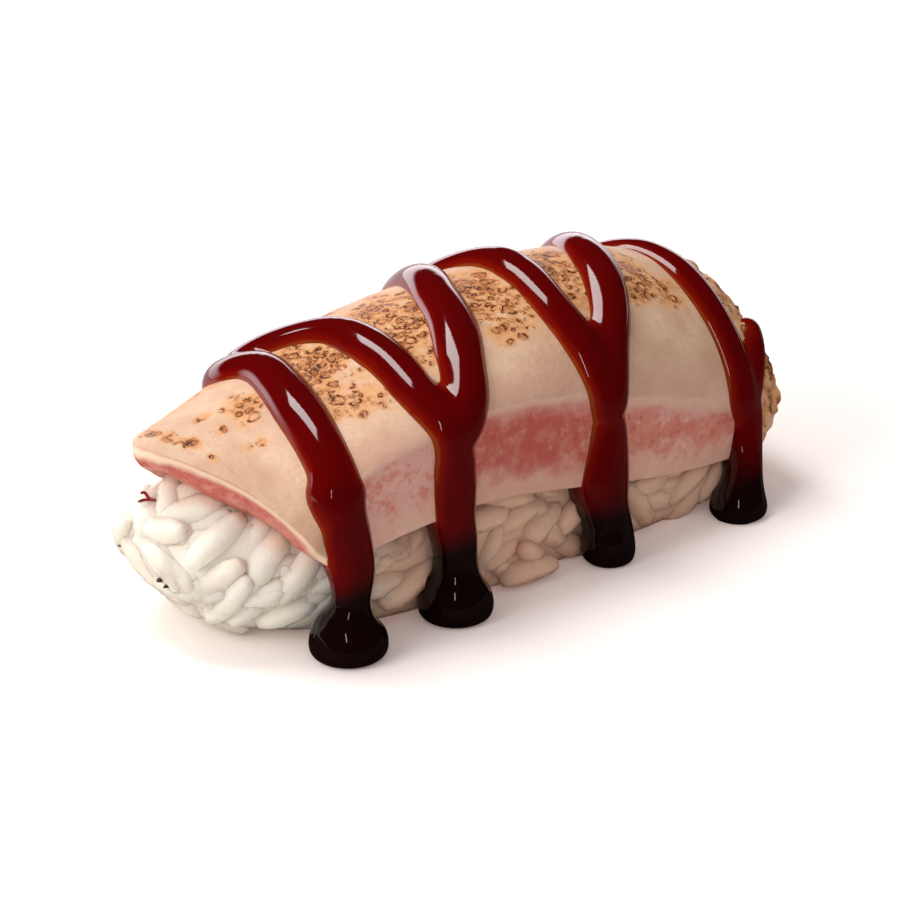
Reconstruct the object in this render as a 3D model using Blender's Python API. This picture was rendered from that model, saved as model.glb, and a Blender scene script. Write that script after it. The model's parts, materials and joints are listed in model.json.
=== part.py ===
"""Seared tuna nigiri: a rice mound under a draped tuna slab that carries a sauce zigzag.

Two nodes, both standing on z = 0 with the long side on X and the sauce drips toward -Y:
  rice  a rounded core with the grains that show fused onto it
  tuna  the slab with its sauce strands, drips and beads fused on
"""
import bisect
import math
import random

import bmesh
import bpy
from mathutils import Vector

# ------------------------------------------------------------------ sizes (millimetres)
MM = 0.001              # one millimetre in metres; every table below is in millimetres

# Tuna slab, by stations along X.
CREST = ((-30, 16.6), (-22, 17.5), (-12, 20.0), (0, 22.6), (12, 23.5), (22, 22.7), (30, 20.2),
         (32, 19.8), (33.5, 19.0), (35, 17.0), (36.5, 11.5))       # height of the ridge
FRONT_CREASE = ((-26, 8.5), (-21, 10.2), (-17.5, 13.6), (-14, 15.8), (-8, 16.9), (0, 17.4),
                (9, 16.0), (16, 13.6), (24, 10.8), (35, 7.5))
BACK_CREASE = ((-20, 13.5), (0, 15.5), (20, 12.5), (35, 7.5))
FRONT_EDGE = ((-24, 7.2), (-20, 8.0), (-14.6, 8.8), (-8, 9.4), (0, 9.4), (8, 8.0), (18, 6.0),
              (24, 5.1), (35, 4.0))
BACK_EDGE = ((-20, 7.0), (0, 7.5), (20, 4.8), (35, 3.0))
FRONT_WIDTH = ((-29, 13.0), (0, 13.2), (20, 13.2), (35, 12.0))   # from y = 0 to the front side
BACK_WIDTH = ((-29, 7.0), (-12, 11.6), (0, 12.6), (20, 12.0), (35, 9.0))
THICKNESS = ((-28, 1.4), (-26, 2.2), (-24, 3.4), (-22, 4.2), (-12, 5.4), (0, 6.6), (20, 6.8),
             (35, 5.5))
# X of the slanting near end cut, by place across.
NEAR_CUT = ((-1.5, -17.8), (-1.2, -19.4), (-1.0, -20.0), (-0.8, -20.9), (-0.5, -22.9),
            (-0.2, -25.6), (0.0, -27.0), (0.2, -27.2), (0.4, -26.2), (0.8, -22.0), (1.5, -11.0))
RIDGE_Y = 0.8           # the ridge runs a little behind the middle
ARCH_ANGLE = math.radians(76)    # how far the seared face turns over on each side
SIDE_FLARE = 0.3        # the cut side leans out this much toward its lower edge
CREASE_SOFTNESS = 0.07  # share of the way across that the crease is rounded over
FAR_TIP, FAR_BIAS = 36.5, 5.9    # rounded far end
SLAB_STEPS_LONG, SLAB_STEPS_ROUND = 24, 26
SIDE_SPAN = 1.5         # places across run from -1.5 (front edge) over 0 (ridge) to 1.5

# Sauce strands: (x, place across the slab), 0 on the ridge, -1 at the front crease.
STRANDS = (
    ((-16.6, -1.2), (-16.8, -0.96), (-16.1, -0.61), (-15.0, -0.30), (-13.6, 0.02), (-13.1, 0.27),
     (-13.7, 0.48), (-13.8, 0.68), (-13.0, 0.86)),
    ((-13.0, 0.86), (-11.0, 0.62), (-8.4, 0.40), (-5.9, 0.14), (-5.5, -0.24), (-5.9, -0.61), (-5.0, -1.0),
     (-5.0, -1.2)),
    ((-4.9, -1.2), (-4.5, -1.0), (-2.2, -0.76), (-0.2, -0.50), (2.2, -0.24), (4.2, 0.05),
     (5.7, 0.28), (6.5, 0.48), (7.0, 0.68), (8.0, 0.86)),
    ((8.0, 0.86), (9.6, 0.60), (11.0, 0.38), (12.4, 0.14), (12.3, -0.12), (11.7, -0.45), (12.4, -0.95),
     (12.4, -1.15)),
    ((12.5, -1.15), (12.8, -0.95), (14.6, -0.70), (17.5, -0.45), (19.8, -0.20), (21.6, 0.08),
     (22.8, 0.34), (23.8, 0.56), (25.0, 0.80)),
    ((25.0, 0.80), (26.9, 0.52), (28.8, 0.20), (29.6, -0.10), (29.6, -0.40), (29.9, -0.75), (29.8, -1.0),
     (29.9, -1.15)),
    ((30.6, -1.0), (31.8, -0.86), (33.1, -0.72), (34.0, -0.60), (34.6, -0.48)),
)
STRAND_RADII = (2.1, 2.1, 2.1, 2.1, 2.1, 2.1, 1.5)    # radius of each round section ...
STRAND_PROUD = 0.57     # ... and the share of it that stands above the slab
STRAND_STEPS, STRAND_SIDES = 19, 10
# Rounded strand ends, outward: (push past the end, section), both as shares of the radius.
STRAND_CAP = ((0.45, 0.89), (0.85, 0.53))

# Sauce drips from the slab down to the floor: (height, x, y, radius).
DRIPS = (
    ((16.4, -16.9, -10.8, 1.2), (14.9, -16.8, -11.4, 2.3), (12.2, -16.6, -12.1, 2.5),
     (9.2, -16.2, -12.7, 2.0), (7.4, -16.2, -13.4, 1.75), (5.0, -16.4, -13.6, 1.5),
     (3.9, -16.6, -13.7, 1.9), (2.7, -16.8, -13.7, 2.9), (1.3, -16.8, -13.7, 3.4),
     (0.4, -16.8, -13.7, 3.35), (0.0, -16.8, -13.7, 3.1)),
    ((17.6, -4.9, -10.6, 1.2), (15.8, -4.9, -11.4, 2.5), (12.5, -4.9, -12.2, 2.5),
     (9.0, -5.0, -12.7, 1.9), (7.0, -5.0, -13.3, 1.8), (5.0, -5.1, -13.6, 1.85),
     (3.8, -5.2, -13.8, 2.1), (2.7, -5.3, -13.9, 2.9), (1.3, -5.3, -13.9, 3.3),
     (0.4, -5.3, -13.9, 3.25), (0.0, -5.3, -13.9, 3.0)),
    ((15.2, 12.5, -10.6, 1.2), (13.2, 12.4, -11.4, 2.5), (10.5, 12.3, -12.2, 2.6),
     (7.0, 12.2, -12.8, 2.5), (5.0, 12.1, -13.4, 2.2), (3.5, 12.0, -13.9, 2.2),
     (1.8, 11.9, -14.2, 2.4), (0.5, 11.9, -14.3, 2.4), (0.0, 11.9, -14.3, 2.15)),
    ((10.0, 30.6, -10.4, 1.2), (8.6, 30.4, -11.0, 2.1), (5.6, 29.8, -12.2, 1.9),
     (4.2, 29.4, -12.9, 1.8), (2.8, 28.4, -14.0, 1.9), (1.4, 27.6, -14.6, 2.5),
     (0.5, 27.3, -14.8, 2.7), (0.0, 27.3, -14.8, 2.5)),
)
DRIP_SIDES = 14

SLAB_FOLD, RICE_FOLD = math.radians(42), math.radians(75)   # sharper folds stay crisp

# Rice core, by height: (z, near end, far end, front, back).
CORE = ((0.0, -21.5, 33.5, -12.2, 10.0), (1.5, -24.0, 34.6, -12.8, 10.8), (4.0, -27.0, 35.2, -12.9, 11.3),
        (7.0, -28.8, 34.8, -12.1, 11.2), (9.5, -27.6, 33.8, -10.8, 10.6), (11.7, -24.8, 32.4, -9.6, 9.4),
        (13.6, -21.4, 30.0, -8.2, 8.0), (15.1, -18.0, 27.0, -6.4, 6.4), (16.1, -12.0, 21.0, -4.2, 4.2))
CORE_TOP = 16.4
CORE_SQUARENESS = 2.6, 4.2       # exponent of the oval plan, near half and far half
CORE_STEPS_ROUND = 44
SLAB_GAP = 0.5          # rice to the underside of the slab
CUT_GAP, CUT_DEPTH = 0.38, 1.0   # grains are cut back this far from slab and sauce
FLOOR_GAP = 0.2         # lowest grain corners over the floor

# Grains fused onto the core.
GRAIN_LENGTH, GRAIN_WIDTH = 7.0, 3.0
GRAIN_TRIES = 190       # places tried; those under the slab or in a drip are left out
GRAIN_HEIGHTS = 1.3, 12.6
SPREAD_ROUND, SPREAD_UP = 0.6180340, 0.7548777    # even-spread steps round and up
GRAIN_SEED = 16
GRAIN_RINGS = ((-0.30, 0.80), (0.02, 1.0), (0.32, 0.78))    # (place along, share of the width)
GRAIN_SIDES = 5
GRAIN_SINK = 0.25       # share of the width that the grain's middle sits inside the core
GRAIN_FLATNESS = 0.9    # height of a grain's section over its width
LEAN_SPREAD = 0.75      # how far grains turn off the level, in radians
DIP, LIFT = (-0.25, 0.3), (0.0, 0.5)              # slope into the core, and height over it
BEND, SIZE = (-0.8, 1.6), (0.9, 1.05)             # bow of a grain, and its size
RISE_SPREAD = 0.3       # unevenness of the rows
SLAB_MARGIN = 0.4       # grains this near the slab's ends count as under it
SIDE_MARGIN = 0.08      # ... and this near its sides, in places across
HIDDEN_BAND = 0.9       # no grain in this last band below the slab
LEVEL_STEP = 0.2        # no grain where the core turns level, by its rise over 0.6


# ------------------------------------------------------------------ curves
def profile(stations, x):
    """Smooth height or width at x through (x, value) stations, straight beyond both ends."""
    xs, values = zip(*stations)
    last = len(xs) - 1
    slopes = []
    for i in range(last + 1):
        lo, hi = max(i - 1, 0), min(i + 1, last)
        slopes.append((values[hi] - values[lo]) / (xs[hi] - xs[lo]))
    if x <= xs[0]:
        return values[0] + slopes[0] * (x - xs[0])
    if x >= xs[last]:
        return values[last] + slopes[last] * (x - xs[last])
    i = max(k for k in range(last) if xs[k] <= x)
    step = xs[i + 1] - xs[i]
    t = (x - xs[i]) / step
    return ((2 * t**3 - 3 * t**2 + 1) * values[i] + (t**3 - 2 * t**2 + t) * step * slopes[i]
            + (3 * t**2 - 2 * t**3) * values[i + 1] + (t**3 - t**2) * step * slopes[i + 1])


def through(points, t):
    """Point at share t (0..1) of a smooth run through control points (Catmull-Rom)."""
    last = len(points) - 1
    i = min(int(t * last), last - 1)
    f = t * last - i
    p0, p1, p2, p3 = (Vector(points[min(max(k, 0), last)]) for k in (i - 1, i, i + 1, i + 2))
    return 0.5 * (2 * p1 + (p2 - p0) * f + (2 * p0 - 5 * p1 + 4 * p2 - p3) * f**2
                  + (3 * p1 - p0 - 3 * p2 + p3) * f**3)


# ------------------------------------------------------------------ slab surface
def half_width(x, side):
    """Distance from the ridge to the slab's front (-1) or back (+1) side at x."""
    return profile(FRONT_WIDTH, x) + RIDGE_Y if side < 0 else profile(BACK_WIDTH, x) - RIDGE_Y


def lower_edge(x, side):
    """Height of the slab's lower front (-1) or back (+1) edge at x."""
    return profile(FRONT_EDGE if side < 0 else BACK_EDGE, x)


def sharp_outside(x, side, reach):
    """Outside of the slab before the crease is rounded: arch up to reach 1, cut side beyond."""
    crease = profile(FRONT_CREASE if side < 0 else BACK_CREASE, x)
    turn = min(reach, 1.0) * ARCH_ANGLE
    y = RIDGE_Y + side * half_width(x, side) * math.sin(turn) / math.sin(ARCH_ANGLE)
    rise = (math.cos(turn) - math.cos(ARCH_ANGLE)) / (1 - math.cos(ARCH_ANGLE))
    z = crease + (profile(CREST, x) - crease) * rise
    if reach > 1:
        down = (reach - 1) / (SIDE_SPAN - 1)
        y += side * SIDE_FLARE * down
        z += (lower_edge(x, side) - crease) * down
    return Vector((x, y, z))


def outside(x, across):
    """Outside of the slab with the crease rounded over."""
    side = -1 if across < 0 else 1
    reach = abs(across)
    if abs(reach - 1) >= CREASE_SOFTNESS:
        return sharp_outside(x, side, reach)
    t = (reach - 1 + CREASE_SOFTNESS) / (2 * CREASE_SOFTNESS)
    a, b, c = (sharp_outside(x, side, 1 + k * CREASE_SOFTNESS) for k in (-1, 0, 1))
    return a * (1 - t)**2 + b * 2 * t * (1 - t) + c * t**2


def underside_height(x, y):
    """Height of the slab's arched underside over the point (x, y)."""
    side = -1 if y < RIDGE_Y else 1
    share = min(abs(y - RIDGE_Y) / (half_width(x, side) + SIDE_FLARE), 1.0)
    edge = lower_edge(x, side)
    top = profile(CREST, x) - profile(THICKNESS, x)
    return edge + (top - edge) * math.cos(share * math.pi / 2)**1.25


def underside(x, across):
    """Underside of the slab at the same place across as the outside."""
    side = -1 if across < 0 else 1
    y = RIDGE_Y + (half_width(x, side) + SIDE_FLARE) * across / SIDE_SPAN
    return Vector((x, y, underside_height(x, y)))


def near_end(across):
    """X of the slanting near end cut at a place across."""
    return profile(NEAR_CUT, across)


def far_end(across):
    """X of the rounded far end at a place across."""
    return FAR_TIP - FAR_BIAS * (across / SIDE_SPAN + 0.15)**2


# ------------------------------------------------------------------ meshes
def make_object(name, points, faces, collection=None):
    """Closed mesh object from points in millimetres, faces turned outward."""
    mesh = bpy.data.meshes.new(name)
    mesh.from_pydata([tuple(c * MM for c in p) for p in points], [], faces)
    bm = bmesh.new()
    bm.from_mesh(mesh)
    bmesh.ops.recalc_face_normals(bm, faces=bm.faces)
    bm.to_mesh(mesh)
    bm.free()
    obj = bpy.data.objects.new(name, mesh)
    (collection or bpy.context.scene.collection).objects.link(obj)
    return obj


def tube_faces(sides, count):
    """Quads between rings of points that follow each other."""
    return [(r * sides + s, r * sides + (s + 1) % sides, (r + 1) * sides + (s + 1) % sides,
             (r + 1) * sides + s) for r in range(count - 1) for s in range(sides)]


def closed_rings(rings, start=None, end=None):
    """Points and faces of stacked rings, each end a single point or a flat lid."""
    sides = len(rings[0])
    points = [p for ring in rings for p in ring]
    faces = tube_faces(sides, len(rings))
    for tip, base in ((start, 0), (end, (len(rings) - 1) * sides)):
        lid = [base + s for s in range(sides)]
        if tip is None:
            faces.append(tuple(lid))
        else:
            points.append(tip)
            faces += [(lid[s], lid[(s + 1) % sides], len(points) - 1) for s in range(sides)]
    return points, faces


def slab_ring(share, places, spare):
    """One section of the slab at a share of its length, swollen by spare."""
    ring = []
    spots = [(near_end(a) - spare + (far_end(a) - near_end(a) + 2 * spare) * share, a)
             for a in places]
    for x, a in spots:
        lift = spare * (1 if abs(a) <= 1 else 1 - 4 * (abs(a) - 1))
        ring.append(outside(x, a) + Vector((0, math.copysign(spare, a), lift)))
    return ring + [underside(x, a) - Vector((0, 0, spare)) for x, a in reversed(spots[1:-1])]


def build_slab(name, collection=None, spare=0.0):
    """Draped slab: arched seared face, two cut sides, slanting ends and an arched underside.

    With spare it is the cutter that keeps the rice clear of the slab.
    """
    places = [SIDE_SPAN * (2 * k / SLAB_STEPS_ROUND - 1) for k in range(SLAB_STEPS_ROUND + 1)]
    rings = [slab_ring(k / SLAB_STEPS_LONG, places, spare) for k in range(SLAB_STEPS_LONG + 1)]
    sides, count = len(rings[0]), len(places)
    points = [p for ring in rings for p in ring]
    faces = tube_faces(sides, len(rings))
    for base in (0, SLAB_STEPS_LONG * sides):
        upper = [base + k for k in range(count)]
        lower = [upper[0]] + [base + sides - k for k in range(1, count - 1)] + [upper[-1]]
        for k in range(count - 1):
            corners = dict.fromkeys((upper[k], upper[k + 1], lower[k + 1], lower[k]))
            faces.append(tuple(corners))
    return make_object(name, points, faces, collection)


def strand_frame(track, radius, t):
    """Centre, direction, outward and sideways axes of a sauce strand at share t."""
    def spot(share):
        x, across = through(track, share)
        return outside(x, across)
    x, across = through(track, t)
    here = outside(x, across)
    along_x = outside(x + 0.2, across) - outside(x - 0.2, across)
    over = outside(x, across + 0.02) - outside(x, across - 0.02)
    out = along_x.cross(over).normalized()
    ahead = (spot(min(t + 0.02, 1.0)) - spot(max(t - 0.02, 0.0))).normalized()
    side = ahead.cross(out).normalized()
    out = side.cross(ahead).normalized()
    return here + out * (STRAND_PROUD - 1) * radius, ahead, out, side


def build_strand(index, track, radius, collection):
    """One round sauce strand with rounded ends, sunk into the slab."""
    stops = [(0.0, -push, share) for push, share in reversed(STRAND_CAP)]
    stops += [(k / STRAND_STEPS, 0.0, 1.0) for k in range(STRAND_STEPS + 1)]
    stops += [(1.0, push, share) for push, share in STRAND_CAP]
    rings = []
    for t, push, share in stops:
        centre, ahead, out, side = strand_frame(track, radius, t)
        centre = centre + ahead * push * radius
        turns = [2 * math.pi * s / STRAND_SIDES for s in range(STRAND_SIDES)]
        rings.append([centre + (out * math.cos(a) + side * math.sin(a)) * radius * share
                      for a in turns])
    tips = []
    for t, sign in ((0.0, -1), (1.0, 1)):
        centre, ahead, _, _ = strand_frame(track, radius, t)
        tips.append(centre + ahead * sign * radius)
    return make_object(f"strand_{index}", *closed_rings(rings, *tips), collection)


def build_drip(index, table, collection, spare=0.0, depth=0.0):
    """One sauce drip: from the slab's side down to a bead that stands flat on the floor.

    With spare and depth it is the wider, deeper cutter that keeps the rice clear of the drip.
    """
    rings = []
    for z, x, y, radius in table:
        radius += spare
        z = z if z > 0 else -depth
        turns = [2 * math.pi * (s + 0.5) / DRIP_SIDES for s in range(DRIP_SIDES)]
        rings.append([Vector((x + radius * math.cos(a), y + radius * math.sin(a), z)) for a in turns])
    return make_object(f"drip_{index}", *closed_rings(rings), collection)


def core_section(z):
    """Near, far, front and back reach of the rice core at height z."""
    heights = [row[0] for row in CORE]
    return [profile(tuple(zip(heights, (row[k] for row in CORE))), z) for k in range(1, 5)]


def core_point(turn, z):
    """Point on the rice core at an angle in plan and a height, kept under the slab."""
    near, far, front, back = core_section(z)
    c, s = math.cos(turn), math.sin(turn)
    shape = 2 / CORE_SQUARENESS[c > 0]
    x = (near + far) / 2 + (far - near) / 2 * math.copysign(abs(c)**shape, c)
    y = (front + back) / 2 + (back - front) / 2 * math.copysign(abs(s)**shape, s)
    return Vector((x, y, min(z, underside_height(x, y) - SLAB_GAP)))


def build_core():
    """Rounded rice core with a flat base, drawn in under its near end."""
    turns = [2 * math.pi * (s + 0.5) / CORE_STEPS_ROUND for s in range(CORE_STEPS_ROUND)]
    rings = [[core_point(a, row[0]) for a in turns] for row in CORE]
    middle = (CORE[-1][1] + CORE[-1][2]) / 2
    top = Vector((middle, 0.0, min(CORE_TOP, underside_height(middle, 0.0) - SLAB_GAP)))
    return make_object("rice", *closed_rings(rings, None, top))


# ------------------------------------------------------------------ grains
def under_slab(x, y):
    """True where the slab covers the point (x, y), with a small margin."""
    side = -1 if y < RIDGE_Y else 1
    across = SIDE_SPAN * (y - RIDGE_Y) / (half_width(x, side) + SIDE_FLARE)
    if abs(across) > SIDE_SPAN + SIDE_MARGIN:
        return False
    across = max(-SIDE_SPAN, min(SIDE_SPAN, across))
    margin = SLAB_GAP + SLAB_MARGIN
    return near_end(across) - margin < x < far_end(across) + margin


def clear_of_neighbours(point):
    """Grain corner moved clear of the floor and of the slab."""
    x, y, z = point
    z = max(z, FLOOR_GAP)
    if under_slab(x, y):
        z = min(z, underside_height(x, y) - SLAB_GAP)
    return Vector((x, y, z))


def in_a_drip(point):
    """True where a grain's middle would lie in a sauce drip or in front of it."""
    for table in DRIPS:
        x, y, radius = min((abs(row[0] - point.z), row[1:]) for row in table)[1]
        if abs(point.x - x) < radius and point.y < y + radius:
            return True
    return False


def grain_points(centre, along, out, bend, size):
    """Rings and tips of one grain, slightly bent, before it is moved clear."""
    side = along.cross(out).normalized()
    length, width = GRAIN_LENGTH * size, GRAIN_WIDTH * size

    def middle(t):
        return centre + along * length * t + out * bend * (0.25 - t * t)
    rings = []
    for t, share in GRAIN_RINGS:
        turns = [2 * math.pi * s / GRAIN_SIDES for s in range(GRAIN_SIDES)]
        rings.append([middle(t) + (out * math.cos(a) * GRAIN_FLATNESS + side * math.sin(a))
                      * width * share / 2 for a in turns])
    return rings, middle(-0.5), middle(0.5)


def plan_turns():
    """Plan angles at even distances round the core at GRAIN_HEIGHTS' middle."""
    z = sum(GRAIN_HEIGHTS) / 2
    steps = 720
    turns = [2 * math.pi * k / steps for k in range(steps + 1)]
    spots = [core_point(a, z) for a in turns]
    run = [0.0]
    for a, b in zip(spots, spots[1:]):
        run.append(run[-1] + (b - a).length)
    return turns, [r / run[-1] for r in run]


def grain_spots(rng):
    """Evenly spread places on the core's showing sides: (centre, along, out, bend, size)."""
    turns, shares = plan_turns()
    low, high = GRAIN_HEIGHTS
    for k in range(GRAIN_TRIES):
        turn = turns[bisect.bisect_left(shares, (k * SPREAD_ROUND) % 1.0)]
        z = low + (high - low) * ((k * SPREAD_UP) % 1.0) + rng.uniform(-RISE_SPREAD, RISE_SPREAD)
        point = core_point(turn, z)
        ahead = core_point(turn + 0.03, z) - core_point(turn - 0.03, z)
        up = core_point(turn, z + 0.3) - core_point(turn, z - 0.3)
        lean = rng.gauss(0.0, LEAN_SPREAD)
        dip, lift, bend, size = (rng.uniform(*limits) for limits in (DIP, LIFT, BEND, SIZE))
        covered = under_slab(point.x, point.y)
        if covered and z > underside_height(point.x, point.y) - HIDDEN_BAND:
            continue
        if up.length < LEVEL_STEP:
            continue
        out = ahead.cross(up).normalized()
        along = (ahead.normalized() * math.cos(lean) + up.normalized() * math.sin(lean)
                 + out * dip).normalized()
        out = (out - along * out.dot(along)).normalized()
        centre = point + out * (lift - GRAIN_SINK * GRAIN_WIDTH)
        if not in_a_drip(centre):
            yield centre, along, out, bend, size


def build_grains(collection):
    """Grains over the core's showing sides, each moved clear of slab, sauce and floor."""
    rng = random.Random(GRAIN_SEED)
    for index, (centre, along, out, bend, size) in enumerate(grain_spots(rng)):
        rings, start, end = grain_points(centre, along, out, bend, size)
        moved = [[clear_of_neighbours(p) for p in ring] for ring in rings]
        tips = [clear_of_neighbours(start), clear_of_neighbours(end)]
        make_object(f"grain_{index}", *closed_rings(moved, *tips), collection)


# ------------------------------------------------------------------ joining and finish
def combine(obj, collection, operation, solver="MANIFOLD"):
    """Union or difference of obj with the whole collection, whose pieces are then removed."""
    union = obj.modifiers.new("join", "BOOLEAN")
    union.operation = operation
    union.operand_type = "COLLECTION"
    union.collection = collection
    union.solver = solver
    bpy.context.view_layer.update()
    joined = bpy.data.meshes.new_from_object(obj.evaluated_get(bpy.context.evaluated_depsgraph_get()))
    obj.modifiers.remove(union)
    obj.data = joined
    for piece in list(collection.objects):
        bpy.data.objects.remove(piece)
    bpy.data.collections.remove(collection)


def keep_main_shell(obj):
    """Drop sealed hollows and loose scraps: only the largest connected shell stays."""
    bm = bmesh.new()
    bm.from_mesh(obj.data)
    left, shells = set(bm.verts), []
    while left:
        queue, shell = [left.pop()], set()
        while queue:
            vert = queue.pop()
            shell.add(vert)
            for edge in vert.link_edges:
                other = edge.other_vert(vert)
                if other in left:
                    left.discard(other)
                    queue.append(other)
        shells.append(shell)
    shells.sort(key=len, reverse=True)
    for shell in shells[1:]:
        bmesh.ops.delete(bm, geom=list(shell), context="VERTS")
    bmesh.ops.triangulate(bm, faces=bm.faces)
    bmesh.ops.recalc_face_normals(bm, faces=bm.faces)
    bm.to_mesh(obj.data)
    bm.free()


def finish(obj, label, colour, roughness, fold):
    """Principled material and smooth shading, crisp at folds over an angle, for one node."""
    material = bpy.data.materials.new(label)
    material.use_nodes = True
    shader = material.node_tree.nodes["Principled BSDF"]
    shader.inputs["Base Color"].default_value = (*colour, 1.0)
    shader.inputs["Roughness"].default_value = roughness
    obj.data.materials.clear()
    obj.data.materials.append(material)
    obj.data.shade_smooth()
    obj.data.set_sharp_from_angle(angle=fold)


def new_collection(name):
    """Empty collection linked into the scene."""
    collection = bpy.data.collections.new(name)
    bpy.context.scene.collection.children.link(collection)
    return collection


def main():
    """Build both nodes."""
    for old in list(bpy.data.objects):
        bpy.data.objects.remove(old)
    rice = build_core()
    grains = new_collection("grains")
    build_grains(grains)
    combine(rice, grains, "UNION")
    cutters = new_collection("cutters")
    build_slab("slab_cutter", cutters, CUT_GAP)
    for index, table in enumerate(DRIPS):
        build_drip(index, table, cutters, CUT_GAP, CUT_DEPTH)
    combine(rice, cutters, "DIFFERENCE")
    keep_main_shell(rice)
    finish(rice, "cooked_rice", (0.86, 0.82, 0.72), 0.45, RICE_FOLD)

    tuna = build_slab("tuna")
    sauce = new_collection("sauce")
    for index, (track, radius) in enumerate(zip(STRANDS, STRAND_RADII)):
        build_strand(index, track, radius, sauce)
    for index, table in enumerate(DRIPS):
        build_drip(index, table, sauce)
    combine(tuna, sauce, "UNION")
    keep_main_shell(tuna)
    finish(tuna, "seared_tuna", (0.55, 0.33, 0.22), 0.5, SLAB_FOLD)


main()
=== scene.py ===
"""Looks of a seared tuna nigiri: rice grains, a draped seared slab and a thick sauce zigzag.

Lengths are in millimetres in every size field and table, and become metres when a mesh is made.
"""

import json
import logging
import math
from dataclasses import dataclass, field
from enum import Enum
from typing import Sequence

import bmesh
import bpy
import numpy as np
from mathutils import Matrix, Vector
from mathutils.bvhtree import BVHTree

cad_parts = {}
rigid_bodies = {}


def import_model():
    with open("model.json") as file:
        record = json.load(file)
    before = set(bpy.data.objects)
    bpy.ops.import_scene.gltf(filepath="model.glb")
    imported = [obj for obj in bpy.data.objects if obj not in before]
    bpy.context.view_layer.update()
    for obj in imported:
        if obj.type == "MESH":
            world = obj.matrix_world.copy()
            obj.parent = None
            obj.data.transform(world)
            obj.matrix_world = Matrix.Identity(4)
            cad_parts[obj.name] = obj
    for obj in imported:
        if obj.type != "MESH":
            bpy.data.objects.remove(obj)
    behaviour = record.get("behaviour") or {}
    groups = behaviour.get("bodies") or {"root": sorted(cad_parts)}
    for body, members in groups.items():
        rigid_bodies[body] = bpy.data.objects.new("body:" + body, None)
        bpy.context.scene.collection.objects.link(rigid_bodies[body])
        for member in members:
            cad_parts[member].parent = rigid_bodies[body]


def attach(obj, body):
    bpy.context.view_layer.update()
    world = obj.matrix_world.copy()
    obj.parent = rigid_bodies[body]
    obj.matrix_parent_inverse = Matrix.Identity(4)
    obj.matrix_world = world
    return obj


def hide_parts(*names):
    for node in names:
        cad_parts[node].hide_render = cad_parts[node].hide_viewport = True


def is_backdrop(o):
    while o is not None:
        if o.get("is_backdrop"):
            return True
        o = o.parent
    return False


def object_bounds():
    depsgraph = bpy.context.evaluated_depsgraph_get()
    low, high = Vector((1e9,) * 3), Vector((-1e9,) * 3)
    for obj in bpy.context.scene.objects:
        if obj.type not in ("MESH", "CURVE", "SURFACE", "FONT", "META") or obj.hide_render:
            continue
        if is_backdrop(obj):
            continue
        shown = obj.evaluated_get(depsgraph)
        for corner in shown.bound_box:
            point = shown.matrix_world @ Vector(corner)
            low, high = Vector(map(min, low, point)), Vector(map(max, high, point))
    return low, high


MM = 0.001
LOG = logging.getLogger("nigiri")

Array = np.ndarray
Box = tuple[Array, Array]
Piece = bpy.types.Object
Socket = bpy.types.NodeSocket
Triple = tuple[float, float, float]
Colour = Triple
Stations = tuple[tuple[float, float], ...]
Drip = tuple[tuple[float, float, float, float], ...]

SHARP = math.radians(50)  # edges that bend more than this are shaded sharp
TURNED = [0, 3, 2, 1]  # order of a quad's corners that turns it over
BOX_MARGIN = 0.03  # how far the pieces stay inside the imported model's box


# ---------------------------------------------------------------------------- node helpers
class NodeGraph:
    """A node tree under construction, with short calls for what every kind of tree needs."""

    tree: bpy.types.NodeTree

    def feed(self, socket: Socket, value: object) -> None:
        """Link an output into a socket, or set the socket to a plain value."""
        if isinstance(value, Socket):
            self.tree.links.new(value, socket)
        elif isinstance(value, tuple) and len(value) == 3 and socket.type == "RGBA":
            socket.default_value = (*value, 1.0)
        else:
            socket.default_value = value

    def put(self, kind: str, feeds: dict[str | int, object] | None = None,
            **settings: object) -> bpy.types.Node:
        """Add a node, set its properties and feed its inputs.

        Args:
            kind: the node's type name.
            feeds: input names or places, and the output or value that each takes.
            settings: property names and values.

        Returns:
            The new node.
        """
        node = self.tree.nodes.new(kind)
        for key, value in settings.items():
            setattr(node, key, value)
        for key, value in (feeds or {}).items():
            self.feed(node.inputs[key], value)
        return node

    def math(self, operation: str, *values: object) -> Socket:
        """One Math node."""
        return self.put("ShaderNodeMath", dict(enumerate(values)), operation=operation).outputs[0]

    def times(self, first: object, second: object) -> Socket:
        """Product of two values."""
        return self.math("MULTIPLY", first, second)

    def swing(self, base: object, wave: object, reach: object) -> Socket:
        """A base value moved up and down by a wave whose middle is one half."""
        return self.math("MULTIPLY_ADD", self.math("SUBTRACT", wave, 0.5), reach, base)


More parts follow.
